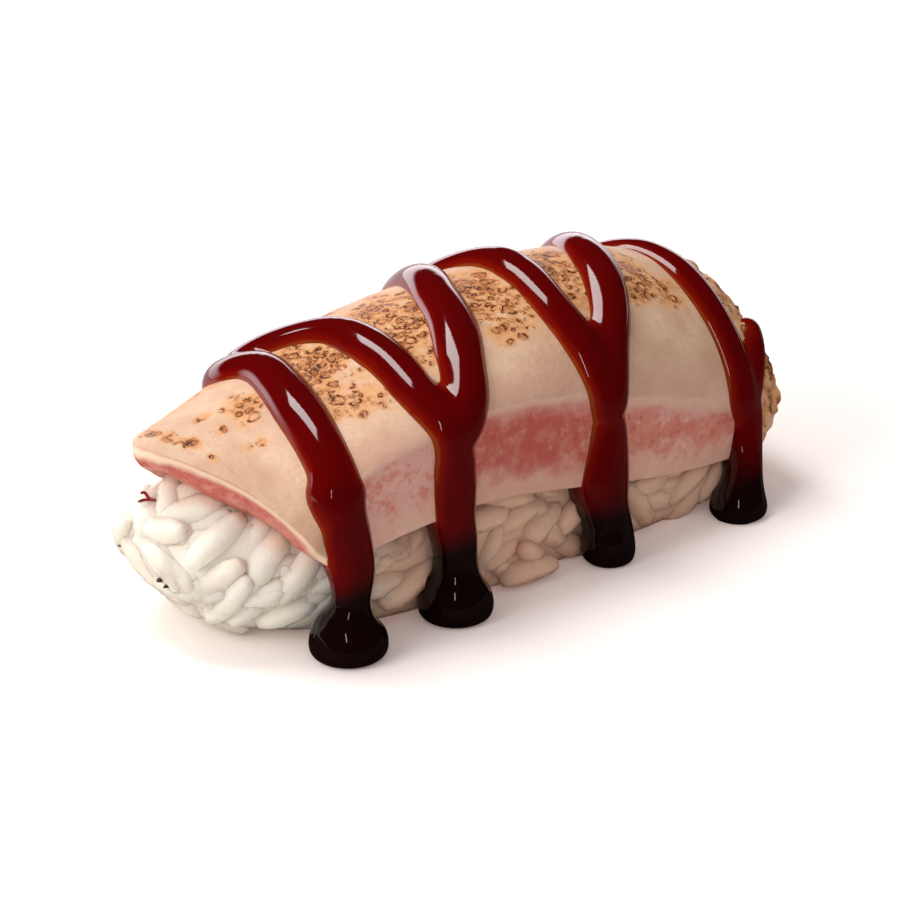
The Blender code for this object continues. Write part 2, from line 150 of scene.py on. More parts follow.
class ShaderGraph(NodeGraph):
    """A material's or a surround's tree."""

    def __init__(self, name: str, surround: bool = False) -> None:
        """Start an empty Principled material called name, or a surround with a plain background."""
        kind, shader = ((bpy.data.worlds, "Background") if surround
                        else (bpy.data.materials, "Principled BSDF"))
        self.holder = kind.new(name)
        self.holder.use_nodes = True
        self.tree = self.holder.node_tree
        self.shader = self.tree.nodes[shader]

    def place(self) -> Socket:
        """Object coordinates."""
        return self.put("ShaderNodeTexCoord").outputs["Object"]

    def stretched(self, scale: Triple, turn: Triple = (0, 0, 0)) -> Socket:
        """Object coordinates turned, then scaled along each axis.

        Args:
            scale: the factor on each axis.
            turn: the rotation in radians.

        Returns:
            The vector output.
        """
        feeds = {"Vector": self.place(), "Scale": scale, "Rotation": turn}
        return self.put("ShaderNodeMapping", feeds).outputs[0]

    def noise(self, size: float, detail: float = 3.0, rough: float = 0.5,
              vector: Socket | None = None) -> Socket:
        """Noise from 0 to 1 with features of about a size in millimetres."""
        feeds = {"Vector": vector or self.place(), "Scale": 1 / (size * MM), "Detail": detail,
                 "Roughness": rough}
        return self.put("ShaderNodeTexNoise", feeds).outputs["Fac"]

    def apart(self, vector: Socket, axis: str) -> Socket:
        """One axis of a vector."""
        return self.put("ShaderNodeSeparateXYZ", {0: vector}).outputs[axis]

    def attribute(self, name: str) -> Socket:
        """A mesh attribute's value."""
        return self.put("ShaderNodeAttribute", attribute_name=name).outputs["Fac"]

    def step(self, value: object, low: float, high: float,
             to: tuple[float, float] = (0.0, 1.0)) -> Socket:
        """Smooth step of a value between two limits, mapped to a range."""
        feeds = {"Value": value, "From Min": low, "From Max": high, "To Min": to[0], "To Max": to[1]}
        return self.put("ShaderNodeMapRange", feeds, interpolation_type="SMOOTHSTEP").outputs["Result"]

    def blend(self, share: object, first: object, second: object, mode: str = "MIX") -> Socket:
        """Mix two colours by a share."""
        return self.put("ShaderNodeMix", {0: share, 6: first, 7: second}, data_type="RGBA",
                        blend_type=mode).outputs[2]

    def ramp(self, value: object, stops: Sequence[tuple[float, Colour]]) -> Socket:
        """Colour ramp through (place, colour) stops."""
        node = self.put("ShaderNodeValToRGB")
        node.color_ramp.interpolation = "EASE"
        elements = node.color_ramp.elements
        while len(elements) < len(stops):
            elements.new(1.0)
        for element, (place, colour) in zip(elements, stops):
            element.position = place
            element.color = (*colour, 1.0)
        self.feed(node.inputs[0], value)
        return node.outputs["Color"]

    def bump(self, height: object, depth: float, strength: float = 1.0,
             under: Socket | None = None) -> Socket:
        """Bump from a height from 0 to 1 that stands for a depth in millimetres."""
        feeds = {"Height": height, "Distance": depth * MM, "Strength": strength}
        if under is not None:
            feeds["Normal"] = under
        return self.put("ShaderNodeBump", feeds).outputs[0]

    def finish(self, **sockets: object) -> bpy.types.Material | bpy.types.World:
        """Set the shader's sockets, with underscores for spaces, and return what it dresses."""
        for key, value in sockets.items():
            self.feed(self.shader.inputs[key.replace("_", " ")], value)
        return self.holder


class GeometryGraph(NodeGraph):
    """A Geometry Nodes tree with named inputs."""

    KINDS = {float: "NodeSocketFloat", int: "NodeSocketInt",
             bpy.types.Material: "NodeSocketMaterial", bpy.types.Collection: "NodeSocketCollection"}

    def __init__(self, name: str, inputs: dict[str, type]) -> None:
        """Start a tree.

        Args:
            name: the tree's name.
            inputs: the named inputs after Geometry and their types.
        """
        self.tree = bpy.data.node_groups.new(name, "GeometryNodeTree")
        face = self.tree.interface
        face.new_socket("Geometry", in_out="INPUT", socket_type="NodeSocketGeometry")
        for key, kind in inputs.items():
            face.new_socket(key, in_out="INPUT", socket_type=self.KINDS[kind])
        face.new_socket("Geometry", in_out="OUTPUT", socket_type="NodeSocketGeometry")
        self.start = self.tree.nodes.new("NodeGroupInput")
        self.end = self.tree.nodes.new("NodeGroupOutput")

    def given(self, key: str) -> Socket:
        """The output of one of the tree's inputs."""
        return self.start.outputs[key]

    def attribute(self, name: str) -> Socket:
        """A mesh attribute's value."""
        node = self.put("GeometryNodeInputNamedAttribute", {"Name": name}, data_type="FLOAT")
        return node.outputs["Attribute"]

    def random(self, low: float, high: float, seed: int) -> Socket:
        """A random value for each point, from a fixed seed."""
        node = self.put("FunctionNodeRandomValue", {2: low, 3: high, "Seed": seed}, data_type="FLOAT")
        return node.outputs[1]

    def close(self, geometry: Socket) -> None:
        """End the tree in Realize Instances and Set Material."""
        realised = self.put("GeometryNodeRealizeInstances", {"Geometry": geometry})
        dressed = self.put("GeometryNodeSetMaterial", {"Geometry": realised.outputs[0],
                                                       "Material": self.given("Material")})
        self.feed(self.end.inputs[0], dressed.outputs[0])

    def attach(self, obj: Piece, values: dict[str, object]) -> None:
        """Put the tree on an object as a modifier and set its inputs by their identifiers."""
        modifier = obj.modifiers.new(self.tree.name, "NODES")
        modifier.node_group = self.tree
        for item in self.tree.interface.items_tree:
            if item.in_out == "INPUT" and item.name in values:
                modifier[item.identifier] = values[item.name]


def bake_modifiers(obj: Piece) -> Piece:
    """Turn an object with modifiers into a plain mesh of the same name.

    Args:
        obj: the object to settle.

    Returns:
        The same object with its evaluated mesh and no modifiers.
    """
    bpy.context.view_layer.update()
    graph = bpy.context.evaluated_depsgraph_get()
    mesh = bpy.data.meshes.new_from_object(obj.evaluated_get(graph), depsgraph=graph)
    obj.modifiers.clear()
    obj.data = mesh
    return obj


def add_object(name: str, data: bpy.types.ID) -> Piece:
    """New object that holds a mesh, a lamp or a camera, linked to the scene."""
    obj = bpy.data.objects.new(name, data)
    bpy.context.scene.collection.objects.link(obj)
    return obj


def store(piece: Piece, name: str, numbers: Array) -> None:
    """Keep one number for each of a piece's points as an attribute."""
    layer = piece.data.attributes.new(name, "FLOAT", "POINT")
    layer.data.foreach_set("value", np.asarray(numbers, dtype=np.float32))


def mesh_object(name: str, points: Array, faces: Sequence[Sequence[int]],
                values: dict[str, Array] | None = None,
                edges: Sequence[tuple[int, int]] = ()) -> Piece:
    """Mesh object from points in millimetres.

    Args:
        name: the object's name.
        points: an (n, 3) array.
        faces: corner indices of each face.
        values: attribute names and one number for each point.
        edges: the two ends of each loose edge.

    Returns:
        The linked object.
    """
    mesh = bpy.data.meshes.new(name)
    mesh.from_pydata((np.asarray(points) * MM).tolist(), edges, [tuple(face) for face in faces])
    mesh.shade_smooth()
    piece = add_object(name, mesh)
    for key, numbers in (values or {}).items():
        store(piece, key, numbers)
    return piece


def grid_quads(grid: Array) -> Array:
    """Quads between the neighbours in a grid of point indices, row by row."""
    corners = [grid[:-1, :-1], grid[:-1, 1:], grid[1:, 1:], grid[1:, :-1]]
    return np.stack(corners, axis=-1).reshape(-1, 4)


def ring_quads(rings: int, sides: int) -> tuple[Array, Array]:
    """Point indices of closed rings, and the quads that join each ring to the next."""
    index = np.arange(rings * sides).reshape(rings, sides)
    return index, grid_quads(np.hstack([index, index[:, :1]]))


def turn_outward(obj: Piece) -> None:
    """Merge doubled points and point every face outward."""
    work = bmesh.new()
    work.from_mesh(obj.data)
    bmesh.ops.remove_doubles(work, verts=work.verts, dist=0.002 * MM)
    bmesh.ops.recalc_face_normals(work, faces=work.faces)
    work.to_mesh(obj.data)
    work.free()


def points_of(obj: Piece) -> Array:
    """An object's points in millimetres."""
    flat = np.empty(len(obj.data.vertices) * 3)
    obj.data.vertices.foreach_get("co", flat)
    return flat.reshape(-1, 3) / MM


def set_points(obj: Piece, points: Array) -> None:
    """Move an object's points to places in millimetres."""
    obj.data.vertices.foreach_set("co", (points * MM).ravel())
    obj.data.update()


# ---------------------------------------------------------------------------- shared form
@dataclass(frozen=True)
class Profile:
    """Smooth curve through (place, value) stations, straight beyond both ends."""

    stations: Stations

    def __call__(self, x: Array) -> Array:
        """Values at places x."""
        xs, values = (np.array(column, dtype=float) for column in zip(*self.stations))
        last = len(xs) - 1
        lo, hi = np.maximum(np.arange(last + 1) - 1, 0), np.minimum(np.arange(last + 1) + 1, last)
        slopes = (values[hi] - values[lo]) / (xs[hi] - xs[lo])
        x = np.asarray(x, dtype=float)
        i = np.clip(np.searchsorted(xs, x, side="right") - 1, 0, last - 1)
        step = xs[i + 1] - xs[i]
        t = np.clip((x - xs[i]) / step, 0, 1)
        curve = ((2 * t**3 - 3 * t**2 + 1) * values[i] + (t**3 - 2 * t**2 + t) * step * slopes[i]
                 + (3 * t**2 - 2 * t**3) * values[i + 1] + (t**3 - t**2) * step * slopes[i + 1])
        return (curve + slopes[0] * np.minimum(x - xs[0], 0)
                + slopes[last] * np.maximum(x - xs[last], 0))


def run_through(points: Array, t: Array) -> Array:
    """Places at shares t (0 to 1) of a smooth run through control points (Catmull-Rom).

    Args:
        points: an (n, k) array of control points.
        t: shares of the run.

    Returns:
        One row for each share.
    """
    last = len(points) - 1
    i = np.minimum((t * last).astype(int), last - 1)
    f = (t * last - i)[:, None]
    p0, p1, p2, p3 = (points[np.clip(i + k, 0, last)] for k in (-1, 0, 1, 2))
    return 0.5 * (2 * p1 + (p2 - p0) * f + (2 * p0 - 5 * p1 + 4 * p2 - p3) * f**2
                  + (3 * p1 - p0 - 3 * p2 + p3) * f**3)


@dataclass(frozen=True)
class SlabForm:
    """Form of the draped slab. Places across run from -1.5 (front edge) over 0 to 1.5."""

    crest: Profile = Profile(((-30, 16.6), (-22, 17.5), (-12, 20.0), (0, 22.6), (12, 23.5),
                              (22, 22.7), (30, 20.2), (32, 19.8), (33.5, 19.0), (35, 17.0),
                              (36.5, 11.5)))
    front_crease: Profile = Profile(((-26, 8.5), (-21, 10.2), (-17.5, 13.6), (-14, 15.8),
                                     (-8, 16.9), (0, 17.4), (9, 16.0), (16, 13.6), (24, 10.8),
                                     (35, 7.5)))
    back_crease: Profile = Profile(((-20, 13.5), (0, 15.5), (20, 12.5), (35, 7.5)))
    front_edge: Profile = Profile(((-24, 7.2), (-20, 8.0), (-14.6, 8.8), (-8, 9.4), (0, 9.4),
                                   (8, 8.0), (18, 6.0), (24, 5.1), (35, 4.0)))
    back_edge: Profile = Profile(((-20, 7.0), (0, 7.5), (20, 4.8), (35, 3.0)))
    front_width: Profile = Profile(((-29, 13.0), (0, 13.2), (20, 13.2), (35, 12.0)))
    back_width: Profile = Profile(((-29, 7.0), (-12, 11.6), (0, 12.6), (20, 12.0), (35, 9.0)))
    thickness: Profile = Profile(((-28, 1.4), (-26, 2.2), (-24, 3.4), (-22, 4.2), (-12, 5.4),
                                  (0, 6.6), (20, 6.8), (35, 5.5)))
    near_cut: Profile = Profile(((-1.5, -17.8), (-1.2, -19.4), (-1.0, -20.0), (-0.8, -20.9),
                                 (-0.5, -22.9), (-0.2, -25.6), (0.0, -27.0), (0.2, -27.2),
                                 (0.4, -26.2), (0.8, -22.0), (1.5, -11.0)))
    ridge_y: float = 0.8
    arch_angle: float = math.radians(76)
    side_flare: float = 0.3
    crease_softness: float = 0.07
    far_tip: float = 36.5
    far_bias: float = 5.9
    side_span: float = 1.5

    def half_width(self, x: Array, side: Array) -> Array:
        """Distance from the ridge to the front (-1) or back (+1) side."""
        return np.where(side < 0, self.front_width(x) + self.ridge_y, self.back_width(x) - self.ridge_y)

    def lower_edge(self, x: Array, side: Array) -> Array:
        """Height of the lower front (-1) or back (+1) edge."""
        return np.where(side < 0, self.front_edge(x), self.back_edge(x))

    def sharp_outside(self, x: Array, side: Array, reach: Array) -> Array:
        """Outside before the crease is rounded: arch up to reach 1, cut side beyond."""
        crease = np.where(side < 0, self.front_crease(x), self.back_crease(x))
        turn = np.minimum(reach, 1.0) * self.arch_angle
        y = self.ridge_y + side * self.half_width(x, side) * np.sin(turn) / math.sin(self.arch_angle)
        rise = (np.cos(turn) - math.cos(self.arch_angle)) / (1 - math.cos(self.arch_angle))
        z = crease + (self.crest(x) - crease) * rise
        down = np.maximum(reach - 1, 0) / (self.side_span - 1)
        y = y + side * self.side_flare * down
        z = z + (self.lower_edge(x, side) - crease) * down
        return np.stack([x + 0 * y, y, z], axis=-1)

    def outside(self, x: Array, across: Array) -> Array:
        """Outside of the slab with the crease rounded over."""
        x, across = np.broadcast_arrays(np.asarray(x, float), np.asarray(across, float))
        side, reach = np.where(across < 0, -1.0, 1.0), np.abs(across)
        t = ((reach - 1 + self.crease_softness) / (2 * self.crease_softness))[..., None]
        a, b, c = (self.sharp_outside(x, side, np.full_like(reach, 1 + k * self.crease_softness))
                   for k in (-1, 0, 1))
        soft = a * (1 - t)**2 + b * 2 * t * (1 - t) + c * t**2
        near = (np.abs(reach - 1) < self.crease_softness)[..., None]
        return np.where(near, soft, self.sharp_outside(x, side, reach))

    def underside_height(self, x: Array, y: Array) -> Array:
        """Height of the arched underside over (x, y)."""
        side = np.where(y < self.ridge_y, -1.0, 1.0)
        share = np.minimum(np.abs(y - self.ridge_y) / (self.half_width(x, side) + self.side_flare), 1)
        edge = self.lower_edge(x, side)
        top = self.crest(x) - self.thickness(x)
        return edge + (top - edge) * np.cos(share * math.pi / 2)**1.25

    def underside(self, x: Array, across: Array) -> Array:
        """Underside at the same place across as the outside."""
        side = np.where(across < 0, -1.0, 1.0)
        y = self.ridge_y + (self.half_width(x, side) + self.side_flare) * across / self.side_span
        return np.stack([x + 0 * y, y, self.underside_height(x, y)], axis=-1)

    def far_end(self, across: Array) -> Array:
        """X of the rounded far end."""
        return self.far_tip - self.far_bias * (across / self.side_span + 0.15)**2

    def covers(self, x: Array, y: Array, margin: float) -> Array:
        """True where the slab covers (x, y), grown by a margin."""
        side = np.where(y < self.ridge_y, -1.0, 1.0)
        half = self.half_width(x, side) + self.side_flare
        across = self.side_span * (y - self.ridge_y) / half
        held = np.clip(across, -self.side_span, self.side_span)
        return ((np.abs(y - self.ridge_y) < half + margin) & (x > self.near_cut(held) - margin)
                & (x < self.far_end(held) + margin))


@dataclass(frozen=True)
class MoundForm:
    """Form of the rice mound's core: a squarish oval in plan, drawn in under its near end."""

    rows: tuple[tuple[float, float, float, float, float], ...] = (
        (0.0, -21.5, 33.5, -12.2, 10.0), (1.5, -24.0, 34.6, -12.8, 10.8),
        (4.0, -27.0, 35.2, -12.9, 11.3), (7.0, -28.8, 34.8, -12.1, 11.2),
        (9.5, -27.6, 33.8, -10.8, 10.6), (11.7, -24.8, 32.4, -9.6, 9.4),
        (13.6, -21.4, 30.0, -8.2, 8.0), (15.1, -18.0, 27.0, -6.4, 6.4),
        (16.1, -12.0, 21.0, -4.2, 4.2))
    squareness: tuple[float, float] = (2.6, 4.2)
    slab_gap: float = 0.5

    def reach(self, z: Array, column: int) -> Array:
        """One of the four reaches (near, far, front, back) at a height."""
        return Profile(tuple((row[0], row[column]) for row in self.rows))(z)

    def point(self, turn: Array, z: Array, inset: float, slab: SlabForm) -> Array:
        """Point at a plan angle and a height, set in from the core's face and kept under the slab."""
        near, far, front, back = (self.reach(z, k) for k in (1, 2, 3, 4))
        c, s = np.cos(turn), np.sin(turn)
        power = 2 / np.where(c > 0, self.squareness[1], self.squareness[0])
        x = (near + far) / 2 + ((far - near) / 2 - inset) * np.sign(c) * np.abs(c)**power
        y = (front + back) / 2 + ((back - front) / 2 - inset) * np.sign(s) * np.abs(s)**power
        top = slab.underside_height(x, y) - self.slab_gap
        return np.stack([x, y, np.minimum(z, top)], axis=-1)


# ---------------------------------------------------------------------------- finishes
@dataclass(frozen=True)
class CookedRice:
    """Finish of cooked short-grain rice: milky, damp and a little see-through."""

    body: Colour = (0.95, 0.885, 0.775)
    core: Colour = (0.965, 0.92, 0.83)
    warm: Colour = (0.90, 0.76, 0.62)
    # painted shade: the darker, warmer tone of rice that lies in shade
    painted_shade_tint: Colour = (0.84, 0.56, 0.47)

    def build(self, name: str) -> bpy.types.Material:
        """Make the material."""
        graph = ShaderGraph(name)
        cloud = graph.noise(2.2, 3.0)
        tint = graph.attribute("grain_tint")
        base = graph.blend(graph.step(cloud, 0.35, 0.7), self.body, self.core)
        base = graph.blend(graph.step(tint, 0.5, 1.0, (0.0, 0.4)), base, self.warm)
        # painted shade: darkens and warms the rice on its front side and under the slab
        base = graph.blend(graph.attribute("shelter"), base, self.painted_shade_tint, "MULTIPLY")
        fine = graph.noise(0.4, 2.0)
        skin = graph.bump(graph.math("MULTIPLY_ADD", cloud, 0.8, fine), 0.10, 0.4)
        rough = graph.step(graph.noise(1.2, 2.0), 0.3, 0.7, (0.18, 0.40))
        return graph.finish(Base_Color=base, Roughness=rough, Normal=skin, Subsurface_Weight=0.3,
                            Subsurface_Radius=(1.0, 0.9, 0.78), Subsurface_Scale=0.0018,
                            Specular_IOR_Level=0.4, IOR=1.4)


@dataclass(frozen=True)
class SearedTuna:
    """Finish of the slab: beige seared face with char rings, raw pink cut sides."""

    seared: Colour = (0.63, 0.40, 0.27)
    seared_pale: Colour = (0.71, 0.50, 0.355)
    seared_rosy: Colour = (0.57, 0.32, 0.23)
    cooked_rim_and_highlight: Colour = (0.82, 0.62, 0.47)
    cooked_band: Colour = (0.64, 0.34, 0.295)
    raw: Colour = (0.62, 0.215, 0.165)
    raw_deep: Colour = (0.50, 0.10, 0.085)
    raw_pale: Colour = (0.70, 0.38, 0.34)
    fringe: Colour = (0.74, 0.49, 0.39)
    golden: Colour = (0.71, 0.36, 0.145)
    toast: Colour = (0.44, 0.135, 0.035)
    char: Colour = (0.050, 0.013, 0.005)
    # partly painted highlight: beyond the near end the mask stays at 0.4, which carries the cooked rim
    # colour along the crease as a light line
    rim_and_highlight_fades: tuple[float, float] = (-17.0, -13.0)
    rings: tuple[Triple, ...] = ((1.6, 0.070, 1.0), (1.05, 0.09, 0.85), (0.7, 0.13, 0.65))

    def char_marks(self, graph: ShaderGraph) -> tuple[Socket, ...]:
        """Masks of the char: burnt rings, the toasted skin round them and the golden ground.

        Args:
            graph: the material under construction.

        Returns:
            The burnt, the toasted and the golden mask, each from 0 to 1.
        """
        zone = graph.attribute("char_zone")
        patchy = graph.step(graph.noise(2.2, 4.0, 0.6), 0.30, 0.56, (0.2, 1.0))
        heat = graph.times(zone, patchy)
        wobble = graph.put("ShaderNodeTexNoise", {"Vector": graph.place(), "Scale": 1 / (0.8 * MM)})
        pushed = graph.put("ShaderNodeVectorMath", {0: wobble.outputs["Color"], 1: (0.55 * MM,) * 3,
                                                    2: graph.place()}, operation="MULTIPLY_ADD")
        burnt, toasted = 0.0, 0.0
        for size, width, share in self.rings:
            cell = graph.put("ShaderNodeTexVoronoi", {"Vector": pushed.outputs[0],
                                                      "Scale": 1 / (size * MM)},
                             voronoi_dimensions="2D")
            pick = graph.put("ShaderNodeSeparateColor", {0: cell.outputs["Color"]})
            middle = graph.math("MULTIPLY_ADD", pick.outputs["Red"], 0.22, 0.16)
            past = graph.math("SUBTRACT", cell.outputs["Distance"], middle)
            away = graph.math("ABSOLUTE", past)
            chance = graph.times(pick.outputs["Green"], 0.75)
            present = graph.step(graph.math("MULTIPLY_ADD", heat, share, chance), 0.80, 1.10)
            line = graph.times(graph.step(away, width * 0.3, width, (1.0, 0.0)), present)
            filled = graph.step(pick.outputs["Blue"], 0.55, 0.60)
            inside = graph.times(filled, graph.step(past, -0.02, 0.06, (0.75, 0.0)))
            halo = graph.math("MAXIMUM", inside, graph.step(away, width, width * 3.0, (0.8, 0.0)))
            burnt = graph.math("MAXIMUM", line, burnt)
            toasted = graph.math("MAXIMUM", graph.times(halo, present), toasted)
        broken = graph.step(graph.noise(0.55, 2.0), 0.38, 0.58, (0.15, 1.0))
        specks = graph.times(graph.step(graph.noise(0.32, 3.0, 0.6), 0.58, 0.66),
                             graph.step(heat, 0.30, 0.85))
        burnt = graph.math("MAXIMUM", graph.times(burnt, broken), graph.times(specks, 0.7))
        browned = graph.times(graph.step(graph.noise(0.9, 4.0, 0.65), 0.44, 0.62),
                              graph.step(heat, 0.25, 0.90, (0.0, 0.75)))
        toasted = graph.math("MAXIMUM", toasted, browned)
        return burnt, toasted, graph.step(heat, 0.08, 0.50)

    def face_colour(self, graph: ShaderGraph, depth: Socket, pale: Socket,
                    marks: Sequence[Socket]) -> Socket:
        """Colour of the seared face: mottled beige that blushes toward the cut, with its char.

        Args:
            graph: the material under construction.
            depth: how far inside the cut's rim a point lies, less than 0 on the seared face.
            pale: mask of the near end, where the flesh is cooked through, and 0.4 beyond it.
            marks: the burnt, the toasted and the golden mask.

        Returns:
            The colour output.
        """
        burnt, toasted, golden = marks
        fibre = graph.noise(1.0, 3.0, 0.6, graph.stretched((1.0, 0.22, 0.22), (0, 0, 0.6)))
        face = graph.blend(graph.step(graph.noise(3.6, 4.0), 0.36, 0.66), self.seared, self.seared_pale)
        for rosy in (graph.step(graph.noise(9.0, 2.0), 0.50, 0.75, (0, 0.6)),
                     graph.step(fibre, 0.52, 0.70, (0, 0.30)),
                     graph.step(graph.noise(0.45, 3.0, 0.6), 0.46, 0.66, (0, 0.34))):
            face = graph.blend(rosy, face, self.seared_rosy)
        blush = graph.times(graph.step(depth, -4.5, -0.3, (0, 0.6)), graph.math("SUBTRACT", 1.0, pale))
        for share, colour in ((blush, self.cooked_band), (graph.times(golden, 0.8), self.golden),
                              (toasted, self.toast), (burnt, self.char)):
            face = graph.blend(share, face, colour)
        return face

    def cut_colour(self, graph: ShaderGraph, depth: Socket, pale: Socket) -> Socket:
        """Colour of the cut side, from its cooked rim through a soft band into the raw flesh.

        Args:
            graph: the material under construction.
            depth: how far inside the cut's rim a point lies.
            pale: mask of the near end, where the flesh is cooked through, and 0.4 beyond it, where it
                draws a pale line along the crease that is partly a painted highlight.

        Returns:
            The colour output.
        """
        streak = graph.noise(2.2, 5.0, 0.62, graph.stretched((0.6, 1.0, 1.0)))
        redness = graph.swing(graph.attribute("redness"), streak, 1.8)
        redness = graph.swing(redness, graph.noise(0.6, 4.0, 0.65), 1.6)
        flesh = graph.ramp(redness, ((0.0, self.raw_pale), (0.45, self.raw), (1.0, self.raw_deep)))
        frayed = graph.swing(graph.attribute("fringe"), graph.noise(1.6, 4.0), 1.8)
        flesh = graph.blend(graph.step(frayed, -0.2, 1.1, (0, 0.7)), flesh, self.fringe)
        inward = graph.swing(graph.math("MULTIPLY_ADD", pale, 1.4, depth), streak, 2.4)
        band = graph.blend(graph.step(inward, 0.6, 2.9), self.cooked_band, flesh)
        # rim colour at the crease: cooked flesh, and beyond the near end partly a painted highlight
        # along the crease
        rim = graph.blend(graph.step(depth, 0.45, 1.35), self.cooked_rim_and_highlight, band)
        return graph.blend(pale, band, rim)

    def build(self, name: str) -> bpy.types.Material:
        """Make the material."""
        graph = ShaderGraph(name)
        marks = self.char_marks(graph)
        burnt, toasted = marks[:2]
        depth = graph.math("ADD", graph.attribute("raw_depth"),
                           graph.math("MULTIPLY_ADD", graph.noise(1.8, 3.0), 0.7, -0.35))
        pale = graph.step(graph.apart(graph.place(), "X"), self.rim_and_highlight_fades[0] * MM,
                          self.rim_and_highlight_fades[1] * MM, (1.0, 0.4))
        base = graph.blend(graph.step(depth, 0.0, 0.35), self.face_colour(graph, depth, pale, marks),
                           self.cut_colour(graph, depth, pale))
        skin = graph.bump(graph.noise(0.9, 4.0, 0.6), 0.16, 0.6)
        skin = graph.bump(graph.noise(0.22, 2.0), 0.05, 0.6, skin)
        skin = graph.bump(graph.math("SUBTRACT", 1.0, burnt), 0.10, 0.8, skin)
        rough = graph.step(graph.noise(1.4, 3.0), 0.3, 0.7, (0.40, 0.62))
        rough = graph.blend(graph.times(toasted, 0.7), rough, (0.26, 0.26, 0.26))
        rough = graph.blend(graph.step(depth, 0.3, 1.2), rough, (0.34, 0.34, 0.34))
        return graph.finish(Base_Color=base, Roughness=rough, Normal=skin, Subsurface_Weight=0.16,
                            Subsurface_Radius=(1.0, 0.45, 0.3), Subsurface_Scale=0.0012,
                            Specular_IOR_Level=0.3, IOR=1.4)


@dataclass(frozen=True)
class DarkSauce:
    """Finish of the thick sauce: amber where it thins out, dark red in body, black in a bead."""

    amber: Colour = (0.23, 0.034, 0.005)
    red: Colour = (0.170, 0.004, 0.0012)
    wine: Colour = (0.095, 0.0004, 0.0006)
    bead: Colour = (0.006, 0.001, 0.001)
    full_depth: float = 6.0

    def build(self, name: str) -> bpy.types.Material:
        """Make the material."""
        graph = ShaderGraph(name)
        # the depth attribute also carries painted light, the amber lower left flank, and painted shade,
        # the drips going dark toward the floor
        depth = graph.math("DIVIDE", graph.attribute("sauce_depth"), self.full_depth)
        uneven = graph.math("MULTIPLY_ADD", graph.noise(3.0, 2.0), 0.08, -0.030)
        base = graph.ramp(graph.math("ADD", depth, uneven), (
            (0.0, self.amber), (0.004, self.amber), (0.040, self.red), (0.16, self.wine),
            (0.60, self.bead), (1.0, self.bead)))
        skin = graph.bump(graph.noise(2.5, 1.0), 0.05, 0.15)
        return graph.finish(Base_Color=base, Roughness=0.07, Normal=skin, IOR=1.45,
                            Specular_IOR_Level=0.5)


@dataclass(frozen=True)
class ChiliRed:
    """Finish of the fine dried chili thread."""

    red: Colour = (0.42, 0.012, 0.008)
    dark: Colour = (0.13, 0.006, 0.005)

    def build(self, name: str) -> bpy.types.Material:
        """Make the material."""
        graph = ShaderGraph(name)
        base = graph.blend(graph.step(graph.noise(0.5, 2.0), 0.35, 0.7), self.red, self.dark)
        skin = graph.bump(graph.noise(0.2, 2.0), 0.05, 0.6)
        return graph.finish(Base_Color=base, Roughness=0.35, Normal=skin)


@dataclass(frozen=True)
class BurntCrumb:
    """Finish of the loose burnt crumbs."""

    brown: Colour = (0.16, 0.060, 0.022)
    black: Colour = (0.025, 0.012, 0.007)

    def build(self, name: str) -> bpy.types.Material:
        """Make the material."""
        graph = ShaderGraph(name)
        base = graph.blend(graph.step(graph.noise(0.35, 3.0), 0.4, 0.6), self.brown, self.black)
        skin = graph.bump(graph.noise(0.15, 3.0), 0.06, 0.8)
        return graph.finish(Base_Color=base, Roughness=0.6, Normal=skin)


@dataclass(frozen=True)
class WhiteSweep:
    """Finish of the plain white floor, which throws back less light than it shows."""

    white: Colour = (0.93, 0.93, 0.935)
    bounce: Colour = (0.78, 0.74, 0.69)
    mirrored: Colour = (0.05, 0.05, 0.052)
    lit_from: tuple[float, float] = (25.0, 60.0)
    lit: float = 2.0
    haze: Colour = (0.13, 0.075, 0.065)

    def build(self, name: str) -> bpy.types.Material:
        """Make the material."""
        graph = ShaderGraph(name)
        path = graph.put("ShaderNodeLightPath")
        seen, mirrors = path.outputs["Is Camera Ray"], path.outputs["Is Glossy Ray"]
        base = graph.blend(seen, self.bounce, self.white)
        base = graph.blend(mirrors, base, self.mirrored)
        behind = graph.step(graph.apart(graph.place(), "Y"), self.lit_from[0] * MM,
                            self.lit_from[1] * MM, (0.0, self.lit))
        haze = graph.blend(seen, (0.0, 0.0, 0.0), self.haze)
        glow = graph.blend(graph.times(behind, mirrors), haze, (1.0, 0.93, 0.97))
        return graph.finish(Base_Color=base, Roughness=0.75, Specular_IOR_Level=0.0,
                            Emission_Color=glow, Emission_Strength=1.0)


